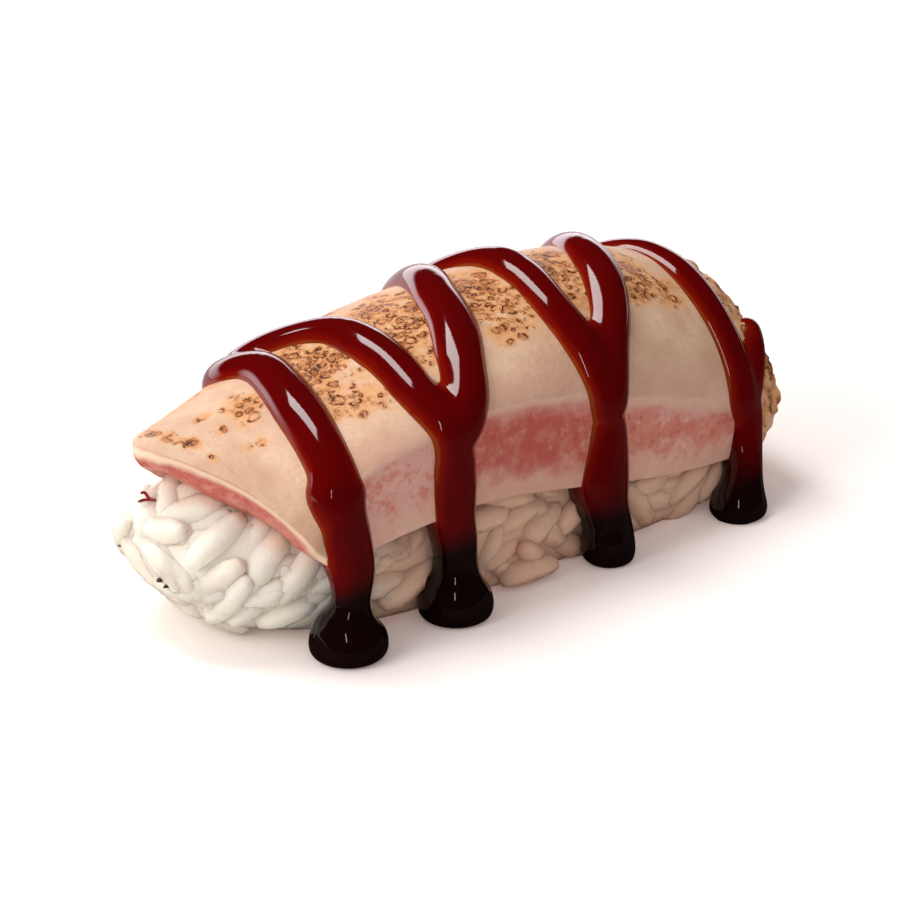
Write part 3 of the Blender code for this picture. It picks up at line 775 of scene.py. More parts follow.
# ---------------------------------------------------------------------------- tuna slab
@dataclass
class TunaSlab:
    """The draped slab with its relief and its masks for char and raw flesh."""

    form: SlabForm = field(default_factory=SlabForm)
    steps_long: int = 200
    steps_across: int = 150
    steps_deep: int = 12
    inner_depth: float = 7.0
    end_bulge: tuple[float, float] = (0.35, 0.0)
    relief: float = 0.16
    blister: float = 0.14
    seared_side: tuple[tuple[float, float], tuple[float, float]] = ((-17.6, -15.2), (31.8, 30.2))
    fringe: float = 2.3
    crumble: float = 2.0
    crumble_from: tuple[float, float] = (31.0, 34.0)
    redness: Profile = Profile(((-29, 0.80), (-20, 0.72), (-15, 0.15), (-7, 0.15), (-2, 0.80),
                                (6, 1.0), (12, 0.65), (19, 0.35), (28, 0.45), (36, 0.2)))
    # patches of the face that the flame caught: middle x and place across, reach in both, heat
    patches: tuple[tuple[float, ...], ...] = (
        (-9.6, 0.02, 3.6, 0.30, 1.0), (-10.8, -0.34, 2.6, 0.20, 0.85), (-8.2, -0.52, 1.6, 0.10, 0.6),
        (-12.9, -0.42, 1.2, 0.08, 0.65), (-0.6, 0.02, 4.2, 0.30, 1.0), (-1.0, -0.34, 3.4, 0.20, 0.85),
        (-1.6, -0.56, 1.4, 0.08, 0.55), (6.4, -0.06, 3.6, 0.28, 1.0), (6.6, -0.32, 3.4, 0.18, 0.9),
        (9.6, -0.24, 2.2, 0.14, 0.7), (5.0, -0.48, 1.4, 0.08, 0.55), (15.4, -0.08, 2.8, 0.22, 0.95),
        (15.1, -0.34, 2.2, 0.16, 0.75), (22.0, -0.18, 3.2, 0.18, 0.85), (22.6, -0.34, 3.4, 0.12, 0.85),
        (25.2, -0.36, 2.6, 0.12, 0.75), (29.2, -0.34, 1.8, 0.16, 0.6), (29.8, -0.56, 1.2, 0.10, 0.4),
        (-17.5, -0.02, 1.7, 0.12, 0.85), (-18.7, -0.13, 1.2, 0.08, 0.6), (-25.0, 0.30, 0.8, 0.14, 0.95),
        (-24.6, 0.06, 0.8, 0.10, 0.95), (-23.7, -0.09, 0.8, 0.06, 0.9), (-20.8, 0.08, 1.0, 0.06, 0.6),
        (-20.9, -0.09, 0.8, 0.05, 0.65), (-20.5, -0.28, 0.6, 0.04, 0.6), (-23.4, -0.24, 0.6, 0.04, 0.6),
        (-19.2, -0.31, 0.6, 0.04, 0.6), (30.8, -0.85, 1.4, 0.12, 0.9), (31.1, -1.0, 1.4, 0.12, 0.9),
        (32.0, -1.2, 1.6, 0.20, 0.8), (33.6, -0.85, 1.8, 0.30, 0.9), (33.4, -0.2, 2.0, 0.40, 0.85),
        (35.4, -0.5, 1.6, 0.40, 0.8), (0.0, 0.62, 26.0, 0.26, 0.62))

    def char_zone(self, x: Array, across: Array) -> Array:
        """Heat of the flame over the seared face, 0 to 1."""
        heat = np.zeros_like(x)
        for middle, place, long, wide, strength in self.patches:
            away = ((x - middle) / long)**2 + ((across - place) / wide)**2
            heat = np.maximum(heat, strength * np.exp(-0.8 * away**1.4))
        return heat

    def masks(self, x: Array, across: Array) -> tuple[Array, Array, Array]:
        """Depth below the seared face, heat and fringe over the slab's outside.

        Args:
            x: places along the slab, one row for each share of its length.
            across: places across it.

        Returns:
            The depth in millimetres, less than 0 on the face itself, where it counts back from
            the crease, and the heat and the fringe, each from 0 to 1.
        """
        form, span = self.form, self.form.side_span
        side = np.where(across < 0, -1.0, 1.0)
        past = (np.abs(across) - 1 + form.crease_softness) / (span - 1)
        tall = np.where(side < 0, form.front_crease(x), form.back_crease(x)) - form.lower_edge(x, side)
        shown = np.prod([np.clip((x - start) / (end - start), 0, 1)
                         for start, end in self.seared_side], axis=0)
        raw = np.where(past > 0, past * tall * np.where(side < 0, shown, 1.0),
                       past * (span - 1) * form.half_width(x, side))
        heat = self.char_zone(x, np.broadcast_to(across, x.shape)) * np.where(shown < 0.5, 1, past <= 0)
        fringe = np.where(past > 0, 1 - (1 - past) * tall / self.fringe, 0.0) * shown
        return raw, heat, np.maximum(fringe, 0)

    def shell(self) -> Piece:
        """Closed slab of fine squares with its masks as attributes.

        Returns:
            The slab before its relief.
        """
        across = np.linspace(-self.form.side_span, self.form.side_span, self.steps_across + 1)
        share = np.linspace(0, 1, self.steps_long + 1)[:, None]
        near, far = self.form.near_cut(across), self.form.far_end(across)
        x = near + (far - near) * share
        upper, lower = self.form.outside(x, across), self.form.underside(x, across)
        raw, heat, fringe = self.masks(x, across)
        rows, columns = x.shape
        index = np.arange(rows * columns).reshape(rows, columns)
        under = index + rows * columns
        # layers of points, each with its depth, heat and fringe
        sheets = [(upper, raw, heat, fringe), (lower, self.inner_depth, 0.0, 0.6)]
        faces = [grid_quads(index)[:, TURNED], grid_quads(under[:, ::-1])[:, TURNED]]
        count = 2 * rows * columns
        for row, bulge in ((0, -self.end_bulge[0]), (rows - 1, self.end_bulge[1])):
            cut = row == 0
            thick = np.linalg.norm(upper[row] - lower[row], axis=1)
            layers = [index[row]]
            for w in np.arange(1, self.steps_deep) / self.steps_deep:
                level = upper[row] * (1 - w) + lower[row] * w
                level = level + np.array([bulge * math.sin(math.pi * w), 0, 0])
                depth = np.maximum(raw[row], w * thick) if cut else raw[row] * (1 - w)
                sheets.append((level, depth, heat[row] * (not cut), 0.0))
                layers.append(np.arange(count, count + columns))
                count += columns
            faces.append(grid_quads(np.array([*layers, under[row]])))
        depths, heats, fringes = (np.concatenate([np.broadcast_to(sheet[k], sheet[0].shape[:-1]).ravel()
                                                  for sheet in sheets]) for k in (1, 2, 3))
        points = np.concatenate([sheet[0].reshape(-1, 3) for sheet in sheets])
        crumble = np.clip((points[:, 0] - self.crumble_from[0]) / np.ptp(self.crumble_from), 0, 1)
        slab = mesh_object("tuna_slab", points, np.concatenate(faces).tolist(),
                           {"raw_depth": depths, "char_zone": heats, "fringe": fringes,
                            "redness": self.redness(points[:, 0]), "crumble": crumble})
        turn_outward(slab)
        return slab

    def relief_tree(self) -> GeometryGraph:
        """Tree that raises soft lumps all over and small blisters where the flame caught."""
        graph = GeometryGraph("sear_relief", {"Relief": float, "Blister": float, "Crumble": float,
                                              "Material": bpy.types.Material})
        lumps = graph.put("ShaderNodeTexNoise", {"Scale": 1 / (4.0 * MM), "Detail": 4.0})
        fine = graph.put("ShaderNodeTexNoise", {"Scale": 1 / (1.1 * MM), "Detail": 3.0})
        pits = graph.put("ShaderNodeTexVoronoi", {"Scale": 1 / (1.5 * MM)})
        coarse = graph.put("ShaderNodeTexNoise", {"Scale": 1 / (1.8 * MM), "Detail": 3.0})
        zone, crumble = graph.attribute("char_zone"), graph.attribute("crumble")
        wave = graph.math("MULTIPLY_ADD", lumps.outputs[0], 0.7, graph.times(fine.outputs[0], 0.3))
        soft = graph.times(graph.math("SUBTRACT", wave, 0.62), graph.given("Relief"))
        dome = graph.times(graph.math("SUBTRACT", 0.45, pits.outputs["Distance"]), zone)
        rise = graph.math("MULTIPLY_ADD", dome, graph.given("Blister"), soft)
        ragged = graph.times(graph.math("SUBTRACT", coarse.outputs[0], 0.62), crumble)
        rise = graph.math("MULTIPLY_ADD", ragged, graph.given("Crumble"), rise)
        normal = graph.put("GeometryNodeInputNormal").outputs[0]
        shift = graph.put("ShaderNodeVectorMath", {0: normal, "Scale": rise}, operation="SCALE")
        moved = graph.put("GeometryNodeSetPosition", {"Geometry": graph.given("Geometry"),
                                                      "Offset": shift.outputs[0]})
        graph.close(moved.outputs[0])
        return graph

    def build(self, finish: SearedTuna, limits: Box) -> Piece:
        """Make the dressed slab.

        Args:
            finish: the slab's finish.
            limits: the box that the slab stays in.

        Returns:
            The slab as one plain mesh.
        """
        slab = self.shell()
        self.relief_tree().attach(slab, {"Relief": self.relief * MM, "Blister": self.blister * MM,
                                         "Crumble": self.crumble * MM,
                                         "Material": finish.build("seared_tuna")})
        bake_modifiers(slab)
        set_points(slab, np.clip(points_of(slab), *limits))
        slab.data.shade_smooth()
        slab.data.set_sharp_from_angle(angle=SHARP)
        return slab


# ---------------------------------------------------------------------------- sauce
@dataclass
class SauceZigzag:
    """Sauce strands over the slab and the drips down to the floor, run together."""

    form: SlabForm = field(default_factory=SlabForm)
    strand_radii: tuple[float, ...] = (2.4, 2.35, 2.4, 2.35, 2.4, 2.1, 1.4)
    strand_proud: float = 0.50
    spare: float = 0.10
    sides: int = 28
    steps: int = 60
    voxel: float = 0.17
    smoothing: int = 60
    # painted shade: below this height the drips are made deeper, so darker, toward the floor, where no
    # light comes through them; the beads there are thick as well
    hang_from: float = 8.5
    hang_depth_and_shade: float = 5.0
    # painted light: on the flank that faces this way, high up and near the slab, the sauce is drawn
    # amber as if light shone through it
    through_light_side: Triple = (-0.80, -0.58, -0.12)
    through_light_depth: float = 0.34
    through_light_reach: float = 2.2
    through_light_above: tuple[float, float] = (9.0, 13.0)
    # a strand's points: x and place across
    strands: tuple[Stations, ...] = (
        ((-16.6, -1.2), (-16.8, -0.96), (-16.1, -0.61), (-15.0, -0.30), (-13.6, 0.02), (-13.1, 0.27),
         (-13.7, 0.48), (-13.8, 0.68), (-13.0, 0.86)),
        ((-13.0, 0.86), (-11.0, 0.62), (-8.4, 0.40), (-5.9, 0.14), (-5.5, -0.24), (-5.9, -0.61),
         (-5.0, -1.0), (-5.0, -1.2)),
        ((-4.9, -1.2), (-4.5, -1.0), (-2.2, -0.76), (-0.2, -0.50), (2.2, -0.24), (4.2, 0.05),
         (5.7, 0.28), (6.5, 0.48), (7.0, 0.68), (8.0, 0.86)),
        ((8.0, 0.86), (9.6, 0.60), (11.0, 0.38), (12.4, 0.14), (12.3, -0.12), (11.7, -0.45),
         (12.4, -0.95), (12.4, -1.15)),
        ((12.5, -1.15), (12.8, -0.95), (14.6, -0.70), (17.5, -0.45), (19.8, -0.20), (21.6, 0.08),
         (22.8, 0.34), (23.8, 0.56), (25.0, 0.80)),
        ((25.0, 0.80), (26.9, 0.52), (28.8, 0.20), (29.6, -0.10), (29.6, -0.40), (29.9, -0.75),
         (29.8, -1.0), (29.9, -1.15)),
        ((30.6, -1.0), (31.8, -0.86), (33.1, -0.72), (34.0, -0.60), (34.6, -0.48)))
    # rows of a drip, from its top to the floor: height, x, y, radius
    drips: tuple[Drip, ...] = (
        ((16.4, -16.9, -10.8, 1.2), (14.9, -16.8, -11.4, 2.3), (12.2, -16.6, -12.1, 2.5),
         (9.2, -16.2, -12.7, 2.3), (7.4, -16.2, -13.4, 2.0), (5.0, -16.4, -13.6, 1.6),
         (3.9, -16.6, -13.7, 1.9), (2.7, -16.8, -13.7, 2.9), (1.3, -16.8, -13.7, 3.4),
         (0.4, -16.8, -13.7, 3.35), (0.0, -16.8, -13.7, 3.1)),
        ((17.6, -4.9, -10.6, 1.2), (15.8, -4.9, -11.4, 2.5), (12.5, -4.9, -12.2, 2.5),
         (9.0, -5.0, -12.7, 2.2), (7.0, -5.0, -13.3, 2.0), (5.0, -5.1, -13.6, 1.9),
         (3.8, -5.2, -13.8, 2.1), (2.7, -5.3, -13.9, 2.9), (1.3, -5.3, -13.9, 3.3),
         (0.4, -5.3, -13.9, 3.25), (0.0, -5.3, -13.9, 3.0)),
        ((15.2, 12.5, -10.6, 1.2), (13.2, 12.4, -11.4, 2.5), (10.5, 12.3, -12.2, 2.6),
         (7.0, 11.8, -12.8, 2.75), (5.0, 11.8, -13.4, 2.4), (3.5, 12.0, -13.9, 2.2),
         (1.8, 11.9, -14.2, 2.4), (0.5, 11.9, -14.3, 2.4), (0.0, 11.9, -14.3, 2.15)),
        ((10.0, 30.6, -10.4, 1.2), (8.6, 30.4, -11.0, 2.1), (5.6, 29.8, -12.2, 1.9),
         (4.2, 29.4, -12.9, 1.8), (2.8, 28.4, -14.0, 1.9), (1.4, 27.6, -14.6, 2.5),
         (0.5, 27.3, -14.8, 2.7), (0.0, 27.3, -14.8, 2.5)))

    def strand_line(self, track: Stations, full: float) -> tuple[Array, Array]:
        """Middle line of a strand, sunk into the slab, with radii that round its ends.

        Args:
            track: (x, place across) points of the strand.
            full: the radius of its section away from the ends.

        Returns:
            The line's points and its radius at each.
        """
        x, across = run_through(np.array(track), np.linspace(0, 1, self.steps + 1)).T
        here = self.form.outside(x, across)
        along = self.form.outside(x + 0.2, across) - self.form.outside(x - 0.2, across)
        over = self.form.outside(x, across + 0.02) - self.form.outside(x, across - 0.02)
        out = np.cross(along, over)
        out /= np.linalg.norm(out, axis=1)[:, None]
        line = here + out * (self.strand_proud - 1) * full
        run = np.concatenate([[0], np.cumsum(np.linalg.norm(np.diff(line, axis=0), axis=1))])
        end = np.minimum(run, run[-1] - run) / full
        radius = full * np.sqrt(np.clip(1 - (1 - np.clip(end, 0.02, 1))**2, 0.01, 1))
        return line, radius * (1 + 0.03 * np.sin(run * 0.5 + x[0]))

    def drip_line(self, table: Drip) -> tuple[Array, Array]:
        """Middle line and radii of a drip from the slab's side to the floor."""
        rows = np.array(table)[:, (1, 2, 0, 3)]
        place = run_through(rows, np.linspace(0, 1, self.steps + 1))
        return place[:, :3], place[:, 3]

    def lines(self) -> Piece:
        """Every middle line as edges, with its radius in metres on the attribute thickness."""
        points, radii, edges = [], [], []
        runs = [self.strand_line(track, full) for track, full in zip(self.strands, self.strand_radii)]
        runs += [self.drip_line(table) for table in self.drips]
        for line, radius in runs:
            first = sum(len(p) for p in points)
            points.append(line)
            radii.append(radius + self.spare)
            edges += [(first + k, first + k + 1) for k in range(len(line) - 1)]
        return mesh_object("sauce", np.concatenate(points), [],
                           {"thickness": np.concatenate(radii) * MM}, edges)

    def tube_tree(self) -> GeometryGraph:
        """Tree that sweeps a round section along every line at its own thickness."""
        graph = GeometryGraph("sauce_strands", {"Sides": int, "Material": bpy.types.Material})
        curve = graph.put("GeometryNodeMeshToCurve", {"Mesh": graph.given("Geometry")})
        thick = graph.attribute("thickness")
        sized = graph.put("GeometryNodeSetCurveRadius", {"Curve": curve.outputs[0], "Radius": thick})
        ring = graph.put("GeometryNodeCurvePrimitiveCircle", {"Radius": 1.0,
                                                              "Resolution": graph.given("Sides")})
        swept = graph.put("GeometryNodeCurveToMesh", {
            "Curve": sized.outputs[0], "Profile Curve": ring.outputs[0], "Scale": thick,
            "Fill Caps": True})
        graph.close(swept.outputs[0])
        return graph

    def depth_over(self, sauce: Piece, slab: Piece) -> Array:
        """Depth of sauce at each of its points.

        Args:
            sauce: the sauce's mesh.
            slab: the slab it lies on.

        Returns:
            How far each point stands off the slab, less on the lower left flank near the slab as
            painted light shining through it, and growing on the way down to the floor as painted shade
            where no light comes through the drips, whose beads are thick as well.
        """
        tree = BVHTree.FromObject(slab, bpy.context.evaluated_depsgraph_get())
        off = np.array([tree.find_nearest(vertex.co)[3] for vertex in sauce.data.vertices]) / MM
        height = points_of(sauce)[:, 2]
        facing = np.array([vertex.normal for vertex in sauce.data.vertices]) @ np.array(self.through_light_side)
        high = np.clip((height - self.through_light_above[0]) / np.ptp(self.through_light_above), 0, 1)
        # painted light: less depth, so amber, on the flank facing the light
        through_light = (np.clip(facing, 0, 1)**2 * self.through_light_depth * high
                   * np.clip(1 - off / self.through_light_reach, 0, 1))
        # painted shade and thickness: depth that grows toward the floor
        hanging_shade = np.clip(1 - height / self.hang_from, 0, 1) * self.hang_depth_and_shade
        return np.maximum(np.maximum(off - through_light, 0), hanging_shade)

    def build(self, finish: DarkSauce, slab: Piece, limits: Box) -> Piece:
        """Make the dressed sauce.

        Args:
            finish: the sauce's finish.
            slab: the slab that the sauce lies on.
            limits: the box that the sauce stays in.

        Returns:
            The sauce as one plain mesh.
        """
        sauce, material = self.lines(), finish.build("dark_sauce")
        self.tube_tree().attach(sauce, {"Sides": self.sides, "Material": material})
        merge = sauce.modifiers.new("run_together", "REMESH")
        merge.mode, merge.voxel_size, merge.use_smooth_shade = "VOXEL", self.voxel * MM, True
        soften = sauce.modifiers.new("surface_tension", "SMOOTH")
        soften.factor, soften.iterations = 0.5, self.smoothing
        bake_modifiers(sauce)
        set_points(sauce, np.clip(points_of(sauce), *limits))
        store(sauce, "sauce_depth", self.depth_over(sauce, slab))
        sauce.data.materials.clear()
        sauce.data.materials.append(material)
        sauce.data.shade_smooth()
        return sauce


# ---------------------------------------------------------------------------- rice
class GrainLayer(Enum):
    """Layers of grains on the core: (spacing, how deep they sit, seed)."""

    UNDER = (2.2, 1.15, 5)
    TOP = (2.6, 0.6, 23)


@dataclass
class RiceMound:
    """The rice: a core and the grains that cover its showing sides."""

    slab: SlabForm = field(default_factory=SlabForm)
    mound: MoundForm = field(default_factory=MoundForm)
    drips: tuple[Drip, ...] = ()
    grain_length: float = 6.9
    grain_width: float = 2.75
    grain_height: float = 2.35
    grain_rings: int = 7
    grain_sides: int = 8
    core_inset: float = 0.25
    # the fallen grain: x, y, z and turn
    fallen: tuple[float, float, float, float] = (3.4, -13.4, 1.3, -0.08)
    # painted shade: where the rice is darkened, from the near end along x, by the gap under the slab
    # and toward the front
    painted_shade_from: tuple[float, float] = (-19.0, -9.0)
    painted_shade_fade: float = 1.6
    painted_shade_front: tuple[float, float] = (4.0, -5.0)
    steps_round: int = 150
    steps_up: int = 44
    shapes: int = 6
    densest: float = 4.0e5
    most_pushed: float = 1.5
    floor_gap: float = 0.03
    slab_gap: float = 0.16
    sauce_gap: float = 0.12
    bare_below: float = 0.9
    bare_under_slab: float = 1.6

    def skin(self, name: str, inset: float) -> Piece:
        """The core's closed face at an inset, with a mask of where it shows."""
        turns = (np.arange(self.steps_round) + 0.5) / self.steps_round * 2 * math.pi
        top = self.mound.rows[-1][0]
        heights = np.linspace(0, 1, self.steps_up)**0.9 * top
        rings = np.stack([self.mound.point(turns, np.full_like(turns, z), inset, self.slab)
                          for z in heights])
        index, quads = ring_quads(self.steps_up, self.steps_round)
        faces = quads.tolist() + [index[0][::-1].tolist()]
        middle = rings[-1].mean(axis=0)
        points = np.concatenate([rings.reshape(-1, 3), [middle]])
        faces += [(here, ahead, len(points) - 1)
                  for here, ahead in zip(index[-1], np.roll(index[-1], -1))]
        x, y, z = points.T
        under = z > self.slab.underside_height(x, y) - self.bare_under_slab
        hidden = (self.slab.covers(x, y, 0.2) & under) | (z < self.bare_below)
        shows = np.where(hidden, 0.0, 1.0)
        return mesh_object(name, points, faces, {"shows": shows, "grain_tint": np.zeros(len(points))})

    def add_painted_shade(self, piece: Piece) -> None:
        """Mark painted shade on each point, 0 to 1: on the front side away from the near end, and under
        the slab, fading with the gap below it.
        """
        x, y, z = points_of(piece).T
        along = np.clip((x - self.painted_shade_from[0]) / np.ptp(self.painted_shade_from), 0, 1)
        gap = np.maximum(self.slab.underside_height(x, y) - z, 0)
        shade_under_slab = np.where(self.slab.covers(x, y, 0.5), np.exp(-gap / self.painted_shade_fade), 0.0)
        front = np.clip((self.painted_shade_front[0] - y) / np.ptp(self.painted_shade_front), 0, 1)
        shelter = np.maximum(along * along * (3 - 2 * along) * front, shade_under_slab * 0.8)
        store(piece, "shelter", shelter)

    def grain_shape(self, index: int) -> Piece:
        """One grain form: a plump bent oval, a little thicker toward one end.

        Args:
            index: which of the forms it is.

        Returns:
            The form as a mesh object.
        """
        rng = np.random.default_rng(40 + index)
        bend, taper = rng.uniform(0.05, 0.35), rng.uniform(-0.14, 0.14)
        length = self.grain_length * rng.uniform(0.86, 1.08)
        rings, sides = self.grain_rings, self.grain_sides
        turn = np.linspace(0, 2 * math.pi, sides, endpoint=False)
        a = math.pi * np.arange(1, rings)[:, None] / rings
        t = -np.cos(a)
        girth = np.sin(a)**0.72 * (1 + taper * t)
        lump = 1 + rng.uniform(-0.05, 0.05, (rings - 1, sides))
        y = girth * np.cos(turn) * self.grain_width / 2 * lump
        z = girth * np.sin(turn) * self.grain_height / 2 * lump + bend * (0.3 - t * t)
        body = np.stack([t * length / 2 + 0 * y, y, z], axis=-1).reshape(-1, 3)
        tips = np.array([[-length / 2, 0, -0.7 * bend], [length / 2, 0, -0.7 * bend]])
        faces = ring_quads(rings - 1, sides)[1][:, TURNED].tolist()
        first, last = len(body), len(body) + 1
        end = (rings - 2) * sides
        for s in range(sides):
            n = (s + 1) % sides
            faces += [(s, n, first), (end + n, end + s, last)]
        grain = mesh_object(f"grain_form_{index}", np.concatenate([body, tips]), faces)
        turn_outward(grain)
        return grain

    def lay_layer(self, graph: GeometryGraph, layer: GrainLayer, forms: Socket) -> Socket:
        """Nodes that lay one layer of grains on the skin that the tree is given.

        Args:
            graph: the tree under construction.
            layer: the layer to lay.
            forms: the grain forms to pick from.

        Returns:
            The layer's instances, each with its own tint.
        """
        spacing, sunk, seed = layer.value
        scatter = graph.put("GeometryNodeDistributePointsOnFaces", {
            "Mesh": graph.given("Geometry"), "Distance Min": spacing * MM,
            "Density Max": self.densest, "Density Factor": graph.attribute("shows"), "Seed": seed},
            distribute_method="POISSON")
        level = graph.put("ShaderNodeVectorMath", {0: scatter.outputs["Normal"],
                                                   1: (0.0, 0.0, 1.0)}, operation="CROSS_PRODUCT")
        upright = graph.put("FunctionNodeAlignRotationToVector",
                            {"Vector": scatter.outputs["Normal"]}, axis="Z")
        turned = graph.put("FunctionNodeAlignRotationToVector",
                           {"Rotation": upright.outputs[0], "Vector": level.outputs[0]},
                           axis="X", pivot_axis="Z").outputs[0]
        for axis, low, high in (("Z", -1.0, 1.0), ("Y", -0.24, 0.24), ("X", -0.6, 0.6)):
            seed += 1
            spin = graph.random(low, high, seed)
            parts = graph.put("ShaderNodeCombineXYZ", {axis: spin})
            twist = graph.put("FunctionNodeRotateRotation", {0: turned, 1: parts.outputs[0]},
                              rotation_space="LOCAL")
            turned = twist.outputs[0]
        size = graph.random(0.88, 1.08, seed + 9)
        dip = graph.random(-(sunk + 0.3) * MM, -(sunk - 0.3) * MM, seed + 10)
        inward = graph.put("ShaderNodeVectorMath", {0: scatter.outputs["Normal"], "Scale": dip},
                           operation="SCALE")
        sunk_in = graph.put("GeometryNodeSetPosition", {"Geometry": scatter.outputs["Points"],
                                                        "Offset": inward.outputs[0]})
        pick = graph.put("FunctionNodeRandomValue", {4: 0, 5: self.shapes - 1, "Seed": seed + 11},
                         data_type="INT")
        laid = graph.put("GeometryNodeInstanceOnPoints", {
            "Points": sunk_in.outputs[0], "Instance": forms, "Pick Instance": True,
            "Instance Index": pick.outputs[2], "Rotation": turned, "Scale": size})
        tint = graph.random(0.0, 1.0, seed + 12)
        stored = graph.put("GeometryNodeStoreNamedAttribute", {
            "Geometry": laid.outputs[0], "Name": "grain_tint", "Value": tint},
            data_type="FLOAT", domain="INSTANCE")
        return stored.outputs[0]

    def grain_tree(self) -> GeometryGraph:
        """Tree that lays layers of grains over the showing part of a skin."""
        graph = GeometryGraph("rice_grains", {"Forms": bpy.types.Collection,
                                              "Material": bpy.types.Material})
        forms = graph.put("GeometryNodeCollectionInfo", {"Collection": graph.given("Forms"),
                                                         "Separate Children": True,
                                                         "Reset Children": True})
        join = graph.put("GeometryNodeJoinGeometry")
        for layer in GrainLayer:
            laid = self.lay_layer(graph, layer, forms.outputs[0])
            graph.tree.links.new(laid, join.inputs[0])
        graph.close(join.outputs[0])
        return graph

    def add_fallen(self, grains: Piece) -> None:
        """Lay one more grain on the floor in front of the mound."""
        x, y, z, turn = self.fallen
        grain = self.grain_shape(self.shapes)
        grain.data.transform(Matrix.Translation(Vector((x, y, z)) * MM) @ Matrix.Rotation(turn, 4, "Z"))
        work = bmesh.new()
        for mesh in (grains.data, grain.data):
            work.from_mesh(mesh)
        work.faces.ensure_lookup_table()
        for face in work.faces:
            face.material_index = work.faces[0].material_index
        work.to_mesh(grains.data)
        work.free()
        bpy.data.objects.remove(grain)

    def drip_at(self, table: Drip, z: Array) -> tuple[Array, ...]:
        """Middle (x, y) and radius of a drip at heights z, radius 0 above its top."""
        rows = np.array(table)[::-1]
        x, y, radius = (np.interp(z, rows[:, 0], rows[:, k]) for k in (1, 2, 3))
        return x, y, np.where(z > rows[-1, 0], 0.0, radius)

    def move_clear(self, points: Array, limits: Box) -> Array:
        """Points moved clear of the floor, the slab and the drips, and kept inside the limits.

        Args:
            points: an (n, 3) array.
            limits: the lowest and the highest corner allowed.

        Returns:
            The moved points.
        """
        x, y, z = points.T.copy()
        z = np.maximum(z, self.floor_gap)
        for table in self.drips:
            cx, cy, radius = self.drip_at(table, z)
            room = np.where(radius > 0, radius + self.sauce_gap, 0.0)
            away = np.hypot(x - cx, y - cy)
            close = (away < room) & (away > 1e-6)
            push = np.where(close, room / np.maximum(away, 1e-6), 1.0)
            x, y = cx + (x - cx) * push, cy + (y - cy) * push
        under = self.slab.covers(x, y, self.slab_gap)
        top = self.slab.underside_height(x, y) - self.slab_gap
        z = np.where(under, np.minimum(z, top), z)
        return np.clip(np.stack([x, y, z], axis=-1), *limits)

    def clear_grains(self, grains: Piece, limits: Box) -> None:
        """Move the grains clear of what is round them, and drop those that this would crush.

        Args:
            grains: every grain in one mesh.
            limits: the box that the grains stay in.
        """
        before = points_of(grains)
        after = self.move_clear(before, limits)
        set_points(grains, after)
        corners = (self.grain_rings - 1) * self.grain_sides + 2
        moved = np.linalg.norm(after - before, axis=1).reshape(-1, corners).max(axis=1)
        crushed = np.repeat(moved > self.most_pushed, corners)
        work = bmesh.new()
        work.from_mesh(grains.data)
        bmesh.ops.delete(work, geom=[vert for vert, gone in zip(work.verts, crushed) if gone],
                         context="VERTS")
        work.to_mesh(grains.data)
        work.free()

    def build(self, finish: CookedRice, limits: Box) -> tuple[Piece, Piece]:
        """Make the dressed core and grains.

        Args:
            finish: the rice's finish.
            limits: the box that the rice stays in.

        Returns:
            The core and the grains, each one plain mesh.
        """
        material = finish.build("cooked_rice")
        core = self.skin("rice_core", self.core_inset)
        core.data.materials.append(material)
        set_points(core, self.move_clear(points_of(core), limits))
        forms = bpy.data.collections.new("grain_forms")
        for index in range(self.shapes):
            form = self.grain_shape(index)
            bpy.context.scene.collection.objects.unlink(form)
            forms.objects.link(form)
        grains = self.skin("rice_grains", 0.0)
        self.grain_tree().attach(grains, {"Forms": forms, "Material": material})
        bake_modifiers(grains)
        for form in list(forms.objects):
            bpy.data.objects.remove(form)
        bpy.data.collections.remove(forms)
        self.add_fallen(grains)
        self.clear_grains(grains, limits)
        grains.data.shade_smooth()
        for piece in (core, grains):
            self.add_painted_shade(piece)
        return core, grains


